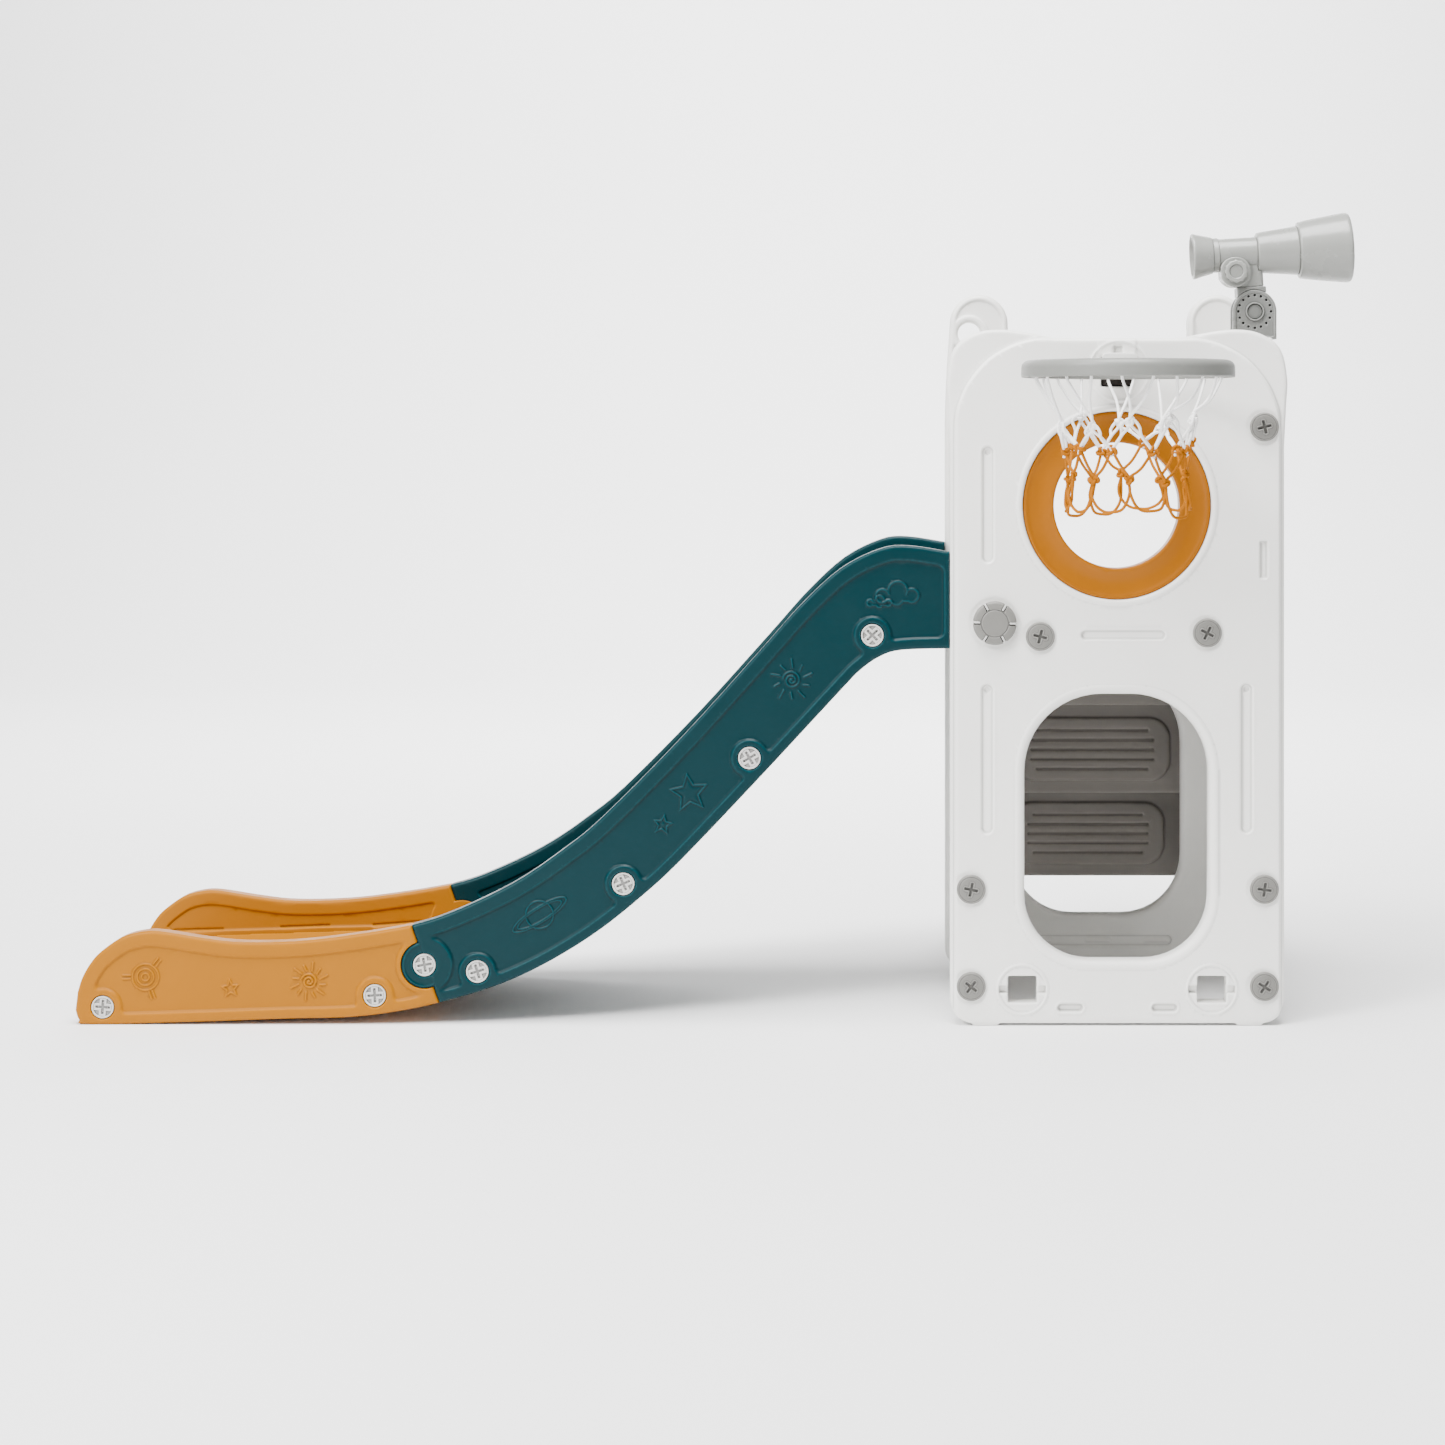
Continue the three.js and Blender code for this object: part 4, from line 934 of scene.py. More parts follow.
def sky_relief(u, v):
    """Raised line drawings on the upper rails."""
    height = 1.5 * rise(cloud(u, v, -77, 614, 66, 32), 2.2)
    height -= 0.9 * rise(cloud(u, v, -77, 614, 66, 32) + 3.2, 2.0)
    height += 1.4 * rise(cloud(u, v, -103, 608, 40, 17), 2.2)
    height -= 0.8 * rise(cloud(u, v, -103, 608, 40, 17) + 2.8, 2.0)
    height += 1.5 * rise(sun(u, v, -230, 500.4, 13.5, 18, 31, 10) - 1.0, 2.0)
    for x, z, radius, tilt in ((-379, 336.5, 30, 8), (-417.6, 290.7, 15.5, -10)):
        shape = star(u, v, x, z, radius, tilt)
        height += 1.5 * rise(np.abs(shape + 1) - 1.0, 2.0) + 0.6 * rise(shape + 5, 3)
    height += 1.5 * rise(planet(u, v, -596.7, 159.5) - 1.0, 2.0)
    return height


def beach_relief(u, v):
    """Raised drawings on the lower rails: a target with rays, a small star and a sun."""
    x, z = -1169.6, 68.9
    height = np.zeros(np.broadcast(u, v).shape)
    for radius in (19, 12, 5.5):
        height += 1.4 * ridge(disc(u, v, (x, z), radius), 0.9, 1.9)
    for angle in (180, 52, -70):
        du, dv = math.cos(math.radians(angle)), math.sin(math.radians(angle))
        for side in (-2.6, 2.6):
            near, far = [(x + reach * du - side * dv, z + reach * dv + side * du) for reach in (22, 33)]
            height += 1.3 * rise(segment(u, v, near, far) - 0.9, 1.9)
    shape = star(u, v, -1046.3, 52.5, 14.5, 6)
    height += 1.4 * rise(np.abs(shape + 1) - 0.9, 2.0)
    height += 1.5 * rise(sun(u, v, -931.5, 62.4, 12, 16, 28, 12) - 1.0, 2.0)
    return height


def sunk_field(u, v, body, from_top, from_bottom, screws):
    """The sunk part of a rail's face: it keeps clear of the edges, of the screws and of the boss."""
    edge = both(np.maximum(22 - from_top, 16 - from_bottom), body, 8)
    for place in screws:
        edge = both(edge, 27 - disc(u, v, place, 0), 9)
    return both(edge, 41 - disc(u, v, BOSS, 0), 9)


def drain_slits(u, v, bottom, middles):
    """Short slits in a rail's inner face, in a row above the bed."""
    shape = np.full(u.shape[:1] + v.shape[1:], 99.0)
    for x in middles:
        i = min(range(1, len(bottom)), key=lambda k: abs(bottom[k][0] - x))
        lean = math.atan2(bottom[i][1] - bottom[i - 1][1], bottom[i][0] - bottom[i - 1][0])
        du, dv = math.cos(lean), math.sin(lean)
        x, z = bottom[i][0] - SLIT_HEIGHT * dv, bottom[i][1] + SLIT_HEIGHT * du
        ends = [(x + reach * du, z + reach * dv) for reach in (-38, 38)]
        shape = np.minimum(shape, segment(u, v, *ends))
    return shape - 1.2


def slide_rail(name, side, upper):
    """A side wall of the slide. The two sections meet in a half lap with a round boss."""
    top = spline(UPPER_TOP if upper else LOWER_TOP[1:], 48)
    bottom = spline(UPPER_BOTTOM if upper else LOWER_BOTTOM, 48)
    outline = bottom + top[::-1]
    if upper:
        outline = [(x + GAP, z) if i in (0, len(outline) - 1) else (x, z) for i, (x, z) in enumerate(outline)]
    near = side == "near"
    y0 = SLIDE_FRONT if near else SLIDE_BACK - RAIL_THICKNESS
    xs, zs = [p[0] for p in outline], [p[1] for p in outline]
    left, right, low, high = min(xs), max(xs), min(zs), max(zs)
    if upper:
        left = BOSS[0] - BOSS_RADIUS
    else:
        right = BOSS[0] + BOSS_RADIUS
    grid = Grid((left, y0 - 2, low), (right, y0 + RAIL_THICKNESS + 2, high), RAIL_STEP)
    u, v = grid.x[:, 0], grid.z[0]
    body = polygon(u, v, outline)
    screws = UPPER_SCREWS if upper else LOWER_SCREWS
    from_boss = disc(u, v, BOSS, 0)
    from_top, from_bottom = along(u, v, top), along(u, v, bottom)
    field_edge = sunk_field(u, v, body, from_top, from_bottom, screws)
    inner_edge = both(both(np.maximum(22 - from_top, 71 - from_bottom), body, 8), 50 - from_boss, 9)
    if upper:
        field_edge = both(field_edge, u + 9, 10)
        inner_edge = both(inner_edge, u + 20, 10)
    outer = -3.4 * rise(field_edge, 5)
    relief = 1.25 * sky_relief(u, v) if upper else 1.7 * beach_relief(u, v)
    outer = outer + relief * rise(field_edge + 6, 3)
    inner = -2.6 * rise(inner_edge, 3)
    inner -= 2.2 * rise(drain_slits(u, v, bottom, UPPER_SLITS if upper else LOWER_SLITS), 2)
    middle = y0 + RAIL_THICKNESS / 2
    out = middle - grid.y if near else grid.y - middle
    half = RAIL_THICKNESS / 2
    slab = np.maximum(out - half - outer[:, None], -out - half - inner[:, None])
    field = both(body[:, None], slab, 5)
    boss = (from_boss - BOSS_RADIUS)[:, None]
    clear = boss - 2 * GAP
    lap = -out + GAP / 2 if upper else out + GAP / 2
    if upper:
        disc_face = out - half - (1.0 * ridge(from_boss - 30.5, 1.6, 2.4) - 1.2)[:, None]
    else:
        disc_face = -out - half
    lug = both(boss, np.maximum(lap, disc_face), 2.5 if upper else 0.5)
    field = np.minimum(field, lug)
    field = less(field, np.maximum(clear, -lap + GAP), 0.4)
    for place in screws + [BOSS]:
        seat = disc(u, v, place, SLIDE_SEAT)[:, None]
        field = less(field, np.maximum(seat, half - 5 - out), 1.0)
    material, slot = (TEAL, "teal_plastic") if upper else (ORANGE, "orange_plastic")
    piece("moulded_" + name, moulded(name + "_shell", grid, field), material, [name])


def shifted(line, distance):
    """The line moved square to itself."""
    out = []
    for i, point in enumerate(line):
        before, after = line[max(i - 1, 0)], line[min(i + 1, len(line) - 1)]
        length = math.hypot(after[0] - before[0], after[1] - before[1])
        du, dv = (after[0] - before[0]) / length, (after[1] - before[1]) / length
        out.append((point[0] - dv * distance, point[1] + du * distance))
    return out


def slide_bed(name, upper):
    """The sliding surface between the rails, dished where it meets them."""
    edge = spline(UPPER_BOTTOM if upper else LOWER_BOTTOM, 40)
    if not upper:
        edge = [p for p in edge if p[0] > LOWER_BED_START]
    y0, y1 = SLIDE_FRONT + RAIL_THICKNESS + GAP, SLIDE_BACK - RAIL_THICKNESS - GAP
    low_line, high_line = shifted(edge, BED_LOW if upper else BED_LOW - 2), shifted(edge, BED_HIGH)
    outline = low_line + high_line[::-1]
    xs, zs = [p[0] for p in outline], [p[1] for p in outline]
    right, top = (TONGUE, max(zs) + 14) if upper else (max(xs), max(zs) + 14)
    grid = Grid((min(xs) - 24, y0, min(zs)), (right, y1, top), 2.2)
    profile = polygon(grid.x[:, 0], grid.z[0], outline)
    if upper:
        level = UPPER_BOTTOM[-1][1]
        tongue = rectangle(grid.x[:, 0], grid.z[0], -30, TONGUE, level + BED_LOW + 1, level + BED_HIGH - 1, 6)
        profile = np.minimum(profile, tongue)
    else:
        radius = (BED_HIGH - BED_LOW) / 2
        end = (edge[0][0], edge[0][1] + BED_LOW + radius)
        profile = np.minimum(profile, disc(grid.x[:, 0], grid.z[0], end, radius))
        (x_high, z_high), (x_low, z_low) = UPPER_TOP[0], UPPER_BOTTOM[0]
        length = math.hypot(x_low - x_high, z_high - z_low)
        past = ((grid.x[:, 0] - x_low) * (z_high - z_low) + (grid.z[0] - z_low) * (x_low - x_high)) / length
        profile = both(profile, past + 0.6, 0)
    from_wall = np.minimum(grid.y - y0, y1 - grid.y)
    inside = np.clip(1 - from_wall / 34, 0, 1)
    dish = 12 * inside**2
    from_end = -6 - grid.x if upper else grid.x - LOWER_BED_START - 10
    ramp = np.clip(from_end / 60, 0, 1)
    on_top = rise(along(grid.x[:, 0], grid.z[0], high_line) - 14, 10)
    field = profile[:, None] - (dish * on_top[:, None] * ramp)
    for share in (0.25, 0.5, 0.75):
        groove = np.abs(grid.y - (y0 + share * (y1 - y0))) - 5
        field = field + 1.6 * rise(groove, 5) * on_top[:, None] * ramp
    field = both(field, np.abs(grid.y - (y0 + y1) / 2) - (y1 - y0) / 2, 1.5)
    material, slot = (TEAL, "teal_plastic") if upper else (ORANGE, "orange_plastic")
    piece("moulded_" + name, moulded(name + "_shell", grid, field), material, [name])


fasteners()
stair_steps()
stringer("stair_side_left", MIDDLE - STAIR_HALF - STRINGER / 2)
stringer("stair_side_right", MIDDLE + STAIR_HALF + STRINGER / 2)
for section in ("upper", "lower"):
    slide_bed(f"slide_{section}_bed", section == "upper")
    for side in ("near", "far"):
        slide_rail(f"slide_{section}_rail_{side}", side, section == "upper")


# ---------------------------------------------------------------- hoop and net
KNOTS = 10
KNOT_TURN = 360 / KNOTS
UPPER_ROW = (97, 875)
COLOUR_ROW = (90, 841)
LOWER_ROW = (82, 797)
LOOP_BOTTOM = (86, 748)
WHITE_DIAMETER = 4.2
ORANGE_DIAMETER = 4.3


def around(angle, radius, z):
    """A point of the net, its angle in degrees from the front of the hoop."""
    a = math.radians(angle)
    return np.array([HOOP["x"] + radius * math.sin(a), HOOP["y"] - radius * math.cos(a), z])


def angle_of(point):
    return math.degrees(math.atan2(point[0] - HOOP["x"], HOOP["y"] - point[1]))


def hoop_ring():
    """The ring: a big round on its top edges and a hollow along its underside."""
    x, y, z, outer, inner, height = HOOP.values()
    low, high = z - height / 2, z + height / 2
    grid = Grid((x - outer, y - outer, low), (x + outer, y + outer, high), 1.15)
    radius = np.hypot(grid.x - x, grid.y - y)
    outline = (
        arc(outer - 11, high - 11, 11, 0, 90) + arc(inner + 6, high - 6, 6, 90, 180)
        + arc(inner + 1.5, low + 1.5, 1.5, 180, 270, 4)
        + [(inner + 8, low), (inner + 9, low + 9), (outer - 5, low + 9), (outer - 4, low)]
        + arc(outer - 1.5, low + 1.5, 1.5, 270, 360, 4)
    )
    mesh = moulded("hoop_ring_shell", grid, polygon(radius, grid.z, outline))
    piece("moulded_hoop_ring", mesh, HOOP_GREY, ["hoop_ring"])


def hoop_bracket():
    """The arm behind the ring, its flange on the panel and the tongue in the panel's socket."""
    grid = Grid((218, -42, 938), (273, 25, 978), 0.9)
    flange = np.maximum(rectangle(grid.x, grid.z, 220, 271.4, 940, 976, 7), np.abs(grid.y + 4.2) - 3.8)
    arm = both(rectangle(grid.x, grid.z, 221, 263.4, 940, 958, 4), np.abs(grid.y + 21) - 19, 2)
    field = either(flange, arm, 4)
    ring = HOOP["outer"] + 0.5 - np.hypot(grid.x - HOOP["x"], grid.y - HOOP["y"])
    mesh = moulded("hoop_bracket_shell", grid, both(field, ring, 0.4))
    piece("moulded_hoop_bracket", mesh, BRACKET_GREY, ["hoop_bracket"])
    grid = Grid((220, -1, 928), (264, 25, 969), 0.9)
    tongue = both(rectangle(grid.x, grid.z, 220.5, 263.9, 928.5, 968.5, 3), np.abs(grid.y - 14.5) - 9.5, 1.5)
    stem = np.maximum(rectangle(grid.x, grid.z, 224, 260.4, 942, 968, 3), np.abs(grid.y - 11) - 12)
    mesh = moulded("hoop_tongue_shell", grid, np.minimum(tongue, stem))
    piece("moulded_hoop_tongue", mesh, DARK, ["hoop_bracket"])


def evenly(points, spacing):
    """Points at even distances along the smooth line through the given ones."""
    line = np.array(spline(points, 24 * (len(points) - 1)))
    reach = np.concatenate([[0], np.cumsum(np.linalg.norm(np.diff(line, axis=0), axis=1))])
    places = np.linspace(0, reach[-1], max(int(reach[-1] / spacing), 2) + 1)
    return np.stack([np.interp(places, reach, line[:, k]) for k in range(3)], axis=1)


def twisted_tube(name, line, diameter, origin=ORIGIN, pitch=10.0, sides=12):
    """A three-strand cord along a line of close points in millimetres; its grooves wind round it."""
    ahead = np.gradient(line, axis=0)
    ahead /= np.linalg.norm(ahead, axis=1)[:, None]
    across = np.cross(ahead[0], (0.3, 0.9, 0.2))
    frames = []
    for direction in ahead:
        across = across - direction * across.dot(direction)
        across = across / np.linalg.norm(across)
        frames.append((across, np.cross(direction, across)))
    reach = np.concatenate([[0], np.cumsum(np.linalg.norm(np.diff(line, axis=0), axis=1))])
    turns = np.linspace(0, 2 * math.pi, sides, endpoint=False)
    strands = np.abs(np.cos(1.5 * (turns[None] - 2 * math.pi * reach[:, None] / pitch)))
    radius = diameter / 2 * (0.84 + 0.2 * strands)
    side, other = np.array([f[0] for f in frames]), np.array([f[1] for f in frames])
    rings = line[:, None] + radius[..., None] * (
        np.cos(turns)[None, :, None] * side[:, None] + np.sin(turns)[None, :, None] * other[:, None]
    )
    count = len(line)
    points = np.concatenate([rings.reshape(-1, 3), line[:1], line[-1:]]) * MM + np.array(origin)
    i, j = np.meshgrid(np.arange(count - 1), np.arange(sides), indexing="ij")
    k = (j + 1) % sides
    walls = np.stack([i * sides + j, i * sides + k, (i + 1) * sides + k, (i + 1) * sides + j], -1)
    j = np.arange(sides)
    k = (j + 1) % sides
    last = (count - 1) * sides
    caps = np.concatenate([
        np.stack([k, j, np.full(sides, count * sides)], -1),
        np.stack([last + j, last + k, np.full(sides, count * sides + 1)], -1),
    ])
    # The grooves between the strands get a negative value, which the cord's material darkens as painted
    # shade.
    groove = np.concatenate([(strands - 0.6).ravel(), [0, 0]])
    return mesh_of(name, points, [caps, walls.reshape(-1, 4)], wear_and_shading=groove)


def knot_mesh(name, diameter):
    """An overhand knot pulled tight, about its own middle."""
    t = np.linspace(0, 2 * math.pi, 90)
    line = np.stack([np.sin(t) + 2 * np.sin(2 * t), np.cos(t) - 2 * np.cos(2 * t), -1.15 * np.sin(3 * t)], 1)
    return twisted_tube(name, line * diameter * 0.42, diameter, (0, 0, 0), 7.0)


def net_cord(name, points, diameter, material):
    """A strand of the net through the points, held in its knots."""
    line = evenly(points, 1.1)
    made = piece(name, twisted_tube(name + "_mesh", line, diameter), material, ["hoop_net"])


def net():
    """The knotted net: white cord above, orange cord below, with three rows of knots."""
    chance = np.random.default_rng(11)
    white_knot = knot_mesh("white_knot", WHITE_DIAMETER)
    orange_knot = knot_mesh("orange_knot", ORANGE_DIAMETER * 1.08)
    places, knots = {}, {}
    for row, (radius, z), turn, mesh, material in (
        ("upper", UPPER_ROW, 0, white_knot, WHITE_CORD),
        ("colour", COLOUR_ROW, 0.5, orange_knot, ORANGE_CORD),
        ("lower", LOWER_ROW, 0, orange_knot, ORANGE_CORD),
    ):
        for k in range(KNOTS):
            a, b, c = chance.uniform(-1, 1, 3)
            centre = around((k + turn) * KNOT_TURN + 4 * a, radius + 3 * b, z + 8 * c)
            lean = Matrix.Rotation(math.radians((k + turn) * KNOT_TURN), 4, "Z")
            lean = lean @ Matrix.Rotation(math.pi / 2 + 0.5 * a, 4, "X") @ Matrix.Rotation(1.2 * c, 4, "Z")
            stretch = Matrix.Diagonal((1.3, 1.3, 0.95, 1)) if row == "colour" else Matrix.Identity(4)
            places[row, k] = centre
            knots[row, k] = piece(f"net_knot_{row}_{k + 1}", mesh, material, ["hoop_net"],
                                  place=Matrix.Translation(world(*centre)) @ stretch @ lean)
    below = np.array([0, 0, -1.0])
    for k in range(KNOTS):
        upper = places["upper", k]
        out = (upper - (HOOP["x"], HOOP["y"], upper[2])) / np.linalg.norm(upper[:2] - (HOOP["x"], HOOP["y"]))
        for side, name in ((-1, "left"), (1, "right")):
            far = (k - (side > 0)) % KNOTS
            colour = places["colour", far]
            angle = k * KNOT_TURN + side * (9.5 + chance.uniform(-2, 2))
            sag = chance.uniform(-2, 2)
            points = [
                around(angle, 130, 944), around(angle, 129, 938), around(angle - side * 0.6, 127, 930),
                around(angle - side * 4.6, 114 + sag / 2, 905), upper + out * side - below * 6,
                upper + below * 5, upper * 0.5 + colour * 0.5 + out * (1.2 + side),
                colour + out * side, colour + below * (7 + sag) + out * 2 * side,
            ]
            net_cord(f"net_white_{name}_{k + 1}", points, WHITE_DIAMETER, WHITE_CORD)
        left, right = places["colour", (k - 1) % KNOTS], places["colour", k]
        across = (right - left) / np.linalg.norm(right - left)
        points = [
            left + below * 6 - across * 2, left - out, left * 0.5 + upper * 0.5 - out * 2.5,
            upper - across * 12.3 + below * 8.4 - out * 2, upper - across * 7.3 + below * 0.9 - out,
            upper - below * 3, upper + across * 7.3 + below * 0.9 + out,
            upper + across * 12.3 + below * 8.4 + out * 2,
            right * 0.5 + upper * 0.5 + out * 2.5, right + out, right + below * 6 + across * 2,
        ]
        net_cord(f"net_white_link_{k + 1}", points, WHITE_DIAMETER, WHITE_CORD)
    for k in range(KNOTS):
        after = (k + 1) % KNOTS
        first, last = places["colour", (k - 1) % KNOTS], places["colour", after]
        left, right = places["lower", k], places["lower", after]
        drop = chance.uniform(-5, 7)
        base = angle_of(left)
        turn = (angle_of(right) - base) % 360
        wide = chance.uniform(-0.06, 0.04)
        loop = ((-0.02 - wide, 24), (0.1 - wide, 9), (0.32, 1), (0.55, 0), (0.8, 3), (0.98 + wide, 14),
                (1.05 + wide, 28))
        points = [
            first - below * 2, first * 0.5 + left * 0.5 + (0, 0, -2 + drop * 0.4),
            left - below * 3, left + below * 4,
        ]
        for share, lift in loop:
            radius, z = LOOP_BOTTOM[0] + 2 * math.cos(share * 9), LOOP_BOTTOM[1] + drop + lift
            points.append(around(base + share * turn, radius, z))
        points += [
            right + below * 5, right - below * 3,
            last * 0.5 + right * 0.5 + (0, 0, -2 - drop * 0.3), last - below * 2,
        ]
        net_cord(f"net_orange_{k + 1}", points, ORANGE_DIAMETER, ORANGE_CORD)


hoop_ring()
hoop_bracket()
net()


# ---------------------------------------------------------------- telescope
SCOPE_PLACE = Matrix.Translation(world(*SCOPE)) @ Matrix.Rotation(-SCOPE_TILT, 4, "Y")
CLEVIS_RADIUS = 32.8
CLEVIS_HALF = 18.5
FOCUS = (-26, 61)
LOBE_RADIUS = 23
BARREL_ROOM = 24.5
CONE_ROOM = 31.6
CONE_START = 9.2


def turned(name, outline, length, reach, material, step=FINE_STEP):
    """A part of the tube, turned about the telescope's axis from points of radius and x."""
    grid = Grid((length[0], -reach, SCOPE_AXIS - reach), (length[1], reach, SCOPE_AXIS + reach), step)
    radius = np.hypot(grid.y, grid.z - SCOPE_AXIS)
    field = polygon(radius, grid.x, outline)
    mesh = moulded(name + "_shell", grid, field, 0.004, SCOPE_PLACE)
    piece("moulded_" + name, mesh, material, [name], "telescope_head")


def scope_base():
    """The clevis: two round cheeks, a collar round the bolt and a ring of small click holes."""
    grid = Grid((-33, -22, -42), (33, 19, 33), FINE_STEP)
    u, v = grid.x[:, 0], grid.z[0]
    outline = arc(0, 0, CLEVIS_RADIUS, 0, 180, 32) + [(-CLEVIS_RADIUS, -41.5), (CLEVIS_RADIUS, -41.5)]
    body = polygon(u, v, outline)
    from_middle = disc(u, v, (0, 0), 0)
    face = CLEVIS_HALF - 1.1 * rise(body + 4.5, 2)
    field = both(body[:, None], np.abs(grid.y) - face[:, None], 2.2)
    field = less(field, np.maximum(np.abs(grid.y) - 8.4, -29 - grid.z), 1)
    collar = both((from_middle - 13.8)[:, None], np.maximum(-21.5 - grid.y, grid.y + 10), 1)
    field = np.minimum(field, collar)
    field = less(field, np.maximum((from_middle - 11.7)[:, None], grid.y + 16.5), 0.6)
    # Painted shade in a thin line round the collar and in each click hole.
    painted_shade = 0.35 * ridge(from_middle - 14.6, 0.8, 1)
    for k in range(16):
        a = math.radians(22.5 * k)
        hole = disc(u, v, (24.5 * math.cos(a), 24.5 * math.sin(a)), 2.0)
        painted_shade += rise(hole - 0.5, 1)
        field = less(field, np.maximum(hole[:, None], grid.y + 9), 0.3)
    field = less(field, (from_middle - 7)[:, None], 0.3)
    mesh = moulded("telescope_base_shell", grid, field, 0.002, Matrix.Translation(world(*SCOPE)), painted_shade)
    piece("moulded_telescope_base", mesh, CLEVIS_GREY, ["telescope_base"])


def pivot_bolt():
    """The bolt through the clevis, with a slotted back head."""
    grid = Grid((-12, -20, -12), (12, 23, 12), FINE_STEP * 0.8)
    from_middle = disc(grid.x[:, 0], grid.z[0], (0, 0), 0)[:, None]
    head = both(from_middle - 10.5, np.abs(grid.y + 18.15) - 1.35 + (from_middle / 10.5) ** 2 * 0.5, 0.8)
    field = np.minimum(head, np.maximum(from_middle - 6, np.abs(grid.y - 1) - 19))
    nut = both(from_middle - 11, np.abs(grid.y - 20.65) - 1.85, 1)
    slot = np.maximum(rectangle(grid.x[:, 0], grid.z[0], -8, 8, -1.2, 1.2, 0.5)[:, None], 21 - grid.y)
    field = np.minimum(field, less(nut, slot, 0.3))
    # Painted shade over the whole bolt, deeper outside 8 mm from its middle, where it sits in the collar's
    # recess.
    painted_shade = 0.3 + 0.4 * rise(8 - from_middle[:, 0], 3)
    mesh = moulded("telescope_pivot_bolt_shell", grid, field, 0.004, Matrix.Translation(world(*SCOPE)), painted_shade)
    piece("moulded_telescope_pivot_bolt", mesh, CLEVIS_GREY, ["telescope_pivot_bolt"])


def tilt_block():
    """The block that tilts in the clevis, hollowed to run round the cheeks, with a spigot on top."""
    grid = Grid((-29, -19, -29), (29, 19, 51), FINE_STEP * 1.15)
    u, v = grid.x[:, 0], grid.z[0]
    eye = np.minimum(disc(u, v, (0, 0), 28), rectangle(u, v, -24.5, 19, 0, 36.4, 2))
    field = both(eye[:, None], np.abs(grid.y) - 8, 1)
    crown = both(rectangle(u, v, -24.5, 19, 10, 37.3, 2), 33.5 - np.hypot(u, v), 0.6)
    field = np.minimum(field, both(crown[:, None], np.abs(grid.y) - CLEVIS_HALF, 1.4))
    spigot = both(np.hypot(grid.x, grid.y) - 6, np.abs(grid.z - 35) - 15, 1)
    field = np.minimum(field, spigot)
    field = less(field, (np.hypot(u, v) - 6.3)[:, None], 0.3)
    mesh = moulded("telescope_tilt_block_shell", grid, field, 0.004, SCOPE_PLACE)
    piece("moulded_telescope_tilt_block", mesh, CLEVIS_GREY,
          ["telescope_tilt_block"], "telescope_yoke")


def saddle():
    """The cradle under the barrel, with the round lobe that carries the focus knob."""
    grid = Grid((-51, -26, 37), (18, 17, 84), FINE_STEP)
    column = rectangle(grid.x, grid.y, -19, 16.5, -16, 16, 6)
    column = both(column, np.abs(grid.z - 59) - 21.2, 1)
    lobe = both(disc(grid.x[:, 0], grid.z[0], FOCUS, LOBE_RADIUS)[:, None], np.abs(grid.y + 4.5) - 20.3, 2.5)
    field = either(column, np.maximum(lobe, 38 - grid.z), 5)
    from_axis = np.hypot(grid.y, grid.z - SCOPE_AXIS)
    barrel = np.where(grid.x < CONE_START, BARREL_ROOM, CONE_ROOM) - from_axis
    field = both(field, barrel, 0.5)
    field = np.maximum(field, np.maximum(37.8 - grid.z, -47.5 - grid.x))
    field = less(field, np.maximum(np.hypot(grid.x, grid.y) - 6.8, grid.z - 51), 0.3)
    mesh = moulded("telescope_saddle_shell", grid, field, 0.004, SCOPE_PLACE)
    piece("moulded_telescope_saddle", mesh, SCOPE_GREY, ["telescope_saddle"],
          "telescope_head")


def focus_knob():
    """The fluted focus knob with a dimple in its face."""
    grid = Grid((-18, -11, -18), (18, 6, 18), SCREW_STEP)
    u, v = grid.x[:, 0], grid.z[0]
    from_middle, turn = np.hypot(u, v), np.arctan2(v, u)
    rim = from_middle - 16.7 - 0.55 * np.cos(12 * turn)
    face = -11 + 2.0 * rise(from_middle - 10.3, 1.4) + 1.4 * np.clip((from_middle - 13) / 4.5, 0, 1) ** 2
    field = both(rim[:, None], np.maximum(face[:, None] - grid.y, grid.y + 0.2), 1.6)
    field = np.minimum(field, np.maximum((from_middle - 4)[:, None], np.abs(grid.y - 2) - 3.5))
    place = SCOPE_PLACE @ Matrix.Translation(Vector((FOCUS[0], -25.3, FOCUS[1])) * MM)
    # Painted shade in the dimple and along its rim.
    painted_shade = 0.25 * rise(from_middle - 9.5, 1.5) + 0.5 * ridge(from_middle - 10.4, 0.5, 1)
    mesh = moulded("telescope_focus_knob_shell", grid, field, 0.002, place, painted_shade)
    piece("moulded_telescope_focus_knob", mesh, SCOPE_GREY,
          ["telescope_focus_knob"], "focus_knob")


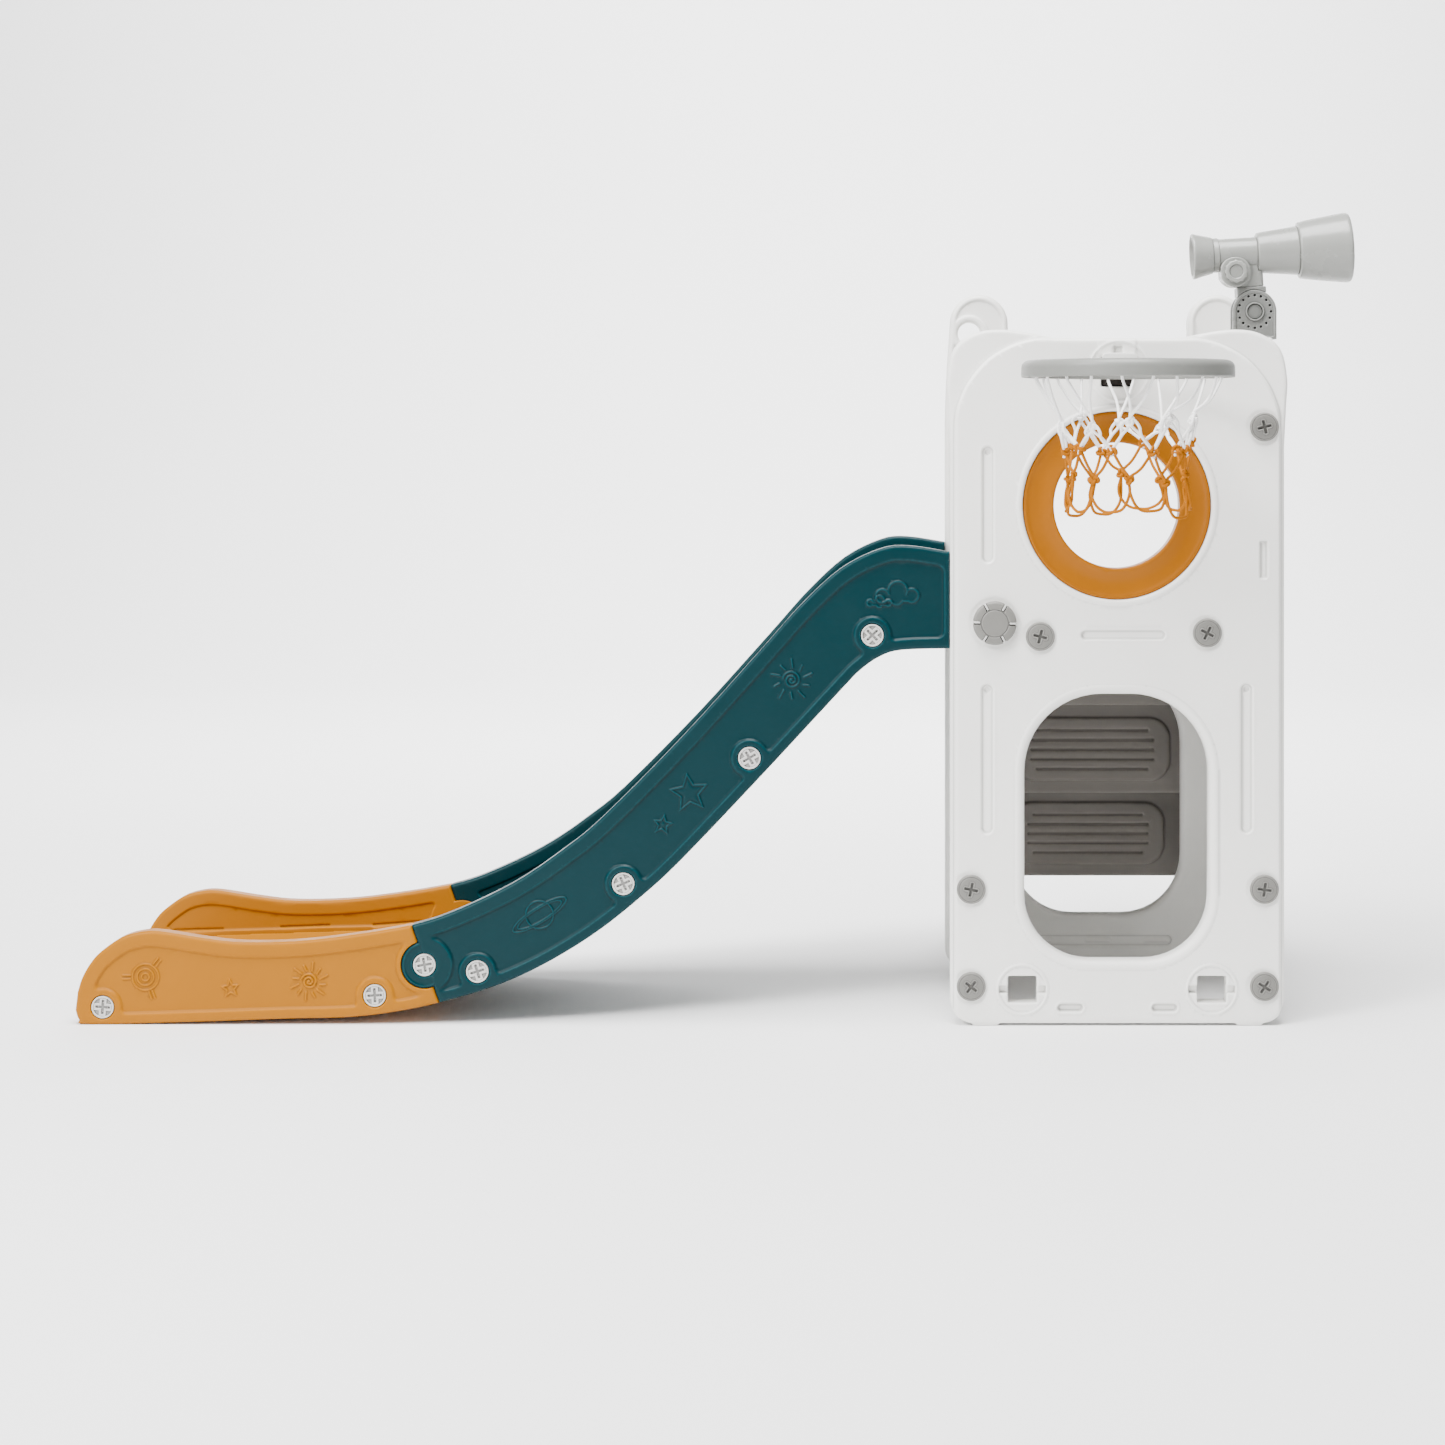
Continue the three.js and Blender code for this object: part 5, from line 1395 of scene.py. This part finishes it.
def tube_parts():
    """The tube's parts in order along its axis, each an outline of radius and x."""
    cup = (
        spline([(30.6, -87.7), (33.4, -87.2), (34.2, -84.5), (31.6, -75), (28.4, -62), (27.2, -57.5)], 20)
        + [(25.8, -56.2), (25.8, -47.8), (20, -47.8), (20.5, -73.7)]
    )
    turned("telescope_eyecup", cup, (-88, -47), 35, SCOPE_GREY)
    barrel = [(24, -47.5), (24, 9.2), (20, 9.2), (20, -47.5)]
    turned("telescope_barrel", barrel, (-48, 10), 25, SCOPE_GREY)
    cone = (
        spline([(25.5, 9.5), (28.6, 10.2), (30.4, 13.2), (32.6, 32), (36.9, 70.9)], 16)
        + [(33.9, 70.9), (27.1, 13.5), (20, 12.0), (20, 9.5)]
    )
    turned("telescope_front_cone", cone, (9, 71), 38, SCOPE_GREY, FINE_STEP * 1.2)
    hood = (
        spline([(37.4, 71.2), (40.6, 72.2), (42.9, 76), (47.6, 105), (51.6, 135.6), (52.4, 142.1),
                (52.2, 146.1), (50.6, 148.9), (48.9, 149.4), (48.0, 147.6)], 40)
        + [(47.9, 142.6), (39.4, 76.2), (33.9, 74.2), (33.9, 71.2)]
    )
    turned("telescope_hood", hood, (71, 150), 54, SCOPE_GREY, FINE_STEP * 1.3)
    for name, x, reach in (("telescope_eyepiece_lens", -70, 19.4), ("telescope_objective_lens", 78, 38.4)):
        rim = 1.0
        bulge = 1.2
        out = np.linspace(0, reach, 9)
        faces = [(-1, r) for r in out] + [(1, r) for r in out[::-1]]
        lens = [(r, x + side * (rim + bulge * (1 - (r / reach) ** 2))) for side, r in faces]
        outline = lens + [(-1, x + rim + bulge), (-1, x - rim - bulge)]
        turned(name, outline, (x - 3, x + 3), reach, LENS)


scope_base()
pivot_bolt()
tilt_block()
saddle()
focus_knob()
tube_parts()


SKY_STRENGTH = 0.2
FOCAL_LENGTH = 68.73
FRAME_SHIFT = (-0.116, -0.2024)
CAMERA_PLACE = (-87, -4000, 864.2)
LIGHTS = [
    ("key", (-2.9, -3.2, 3.9), (0, 0, 0.5), 1.5, 360),
    ("fill", (-3.0, -4.4, 1.0), (0, 0, 0.3), 2.4, 105),
    ("top", (0.1, -1.2, 4.6), (0, -0.2, 0), 2.8, 600),
    ("backdrop", (0, 3.0, 4.8), (0, 8, 1.2), 4.0, 1150),
]


def backdrop():
    """A pale floor that curves up into a wall behind the object."""
    bend = [(5 + 3 * math.sin(a), 3 - 3 * math.cos(a)) for a in np.linspace(0, math.pi / 2, 13)]
    profile = [(-9.0, 0.0)] + bend + [(8.0, 12.0)]
    points = np.array([(x, y, z) for x in (-14.0, 14.0) for y, z in profile])
    count = len(profile)
    faces = np.array([[i, i + count, i + count + 1, i + 1] for i in range(count - 1)])
    nodes = Nodes("pale_floor")
    tone = nodes.mix(nodes.noise(0.8, 3), linear(243, 243, 243), linear(248, 248, 248))
    nodes.link(tone, nodes.shader.inputs["Base Color"])
    nodes.shader.inputs["Roughness"].default_value = 0.9
    mesh = mesh_of("backdrop", points, [faces])
    mesh.materials.append(nodes.material)
    floor = bpy.data.objects.new("backdrop", mesh)
    bpy.context.scene.collection.objects.link(floor)


def lights():
    for name, place, target, size, power in LIGHTS:
        data = bpy.data.lights.new(name, "AREA")
        data.size = size
        data.energy = power
        light = bpy.data.objects.new(name, data)
        bpy.context.scene.collection.objects.link(light)
        light.location = place
        light.rotation_euler = (Vector(target) - Vector(place)).to_track_quat("-Z", "Y").to_euler()
    studio = bpy.data.worlds.new("studio")
    bpy.context.scene.world = studio
    studio.use_nodes = True
    studio.node_tree.nodes["Background"].inputs["Color"].default_value = (1, 1, 1, 1)
    studio.node_tree.nodes["Background"].inputs["Strength"].default_value = SKY_STRENGTH


def camera():
    """Level, square to the front panel, with the frame shifted down and to the left of its axis."""
    data = bpy.data.cameras.new("camera")
    data.lens = FOCAL_LENGTH
    data.sensor_width = 36
    data.shift_x, data.shift_y = FRAME_SHIFT
    made = bpy.data.objects.new("camera", data)
    bpy.context.scene.collection.objects.link(made)
    made.location = world(*CAMERA_PLACE)
    made.rotation_euler = (math.pi / 2, 0, 0)
    bpy.context.scene.camera = made


backdrop()
lights()
camera()
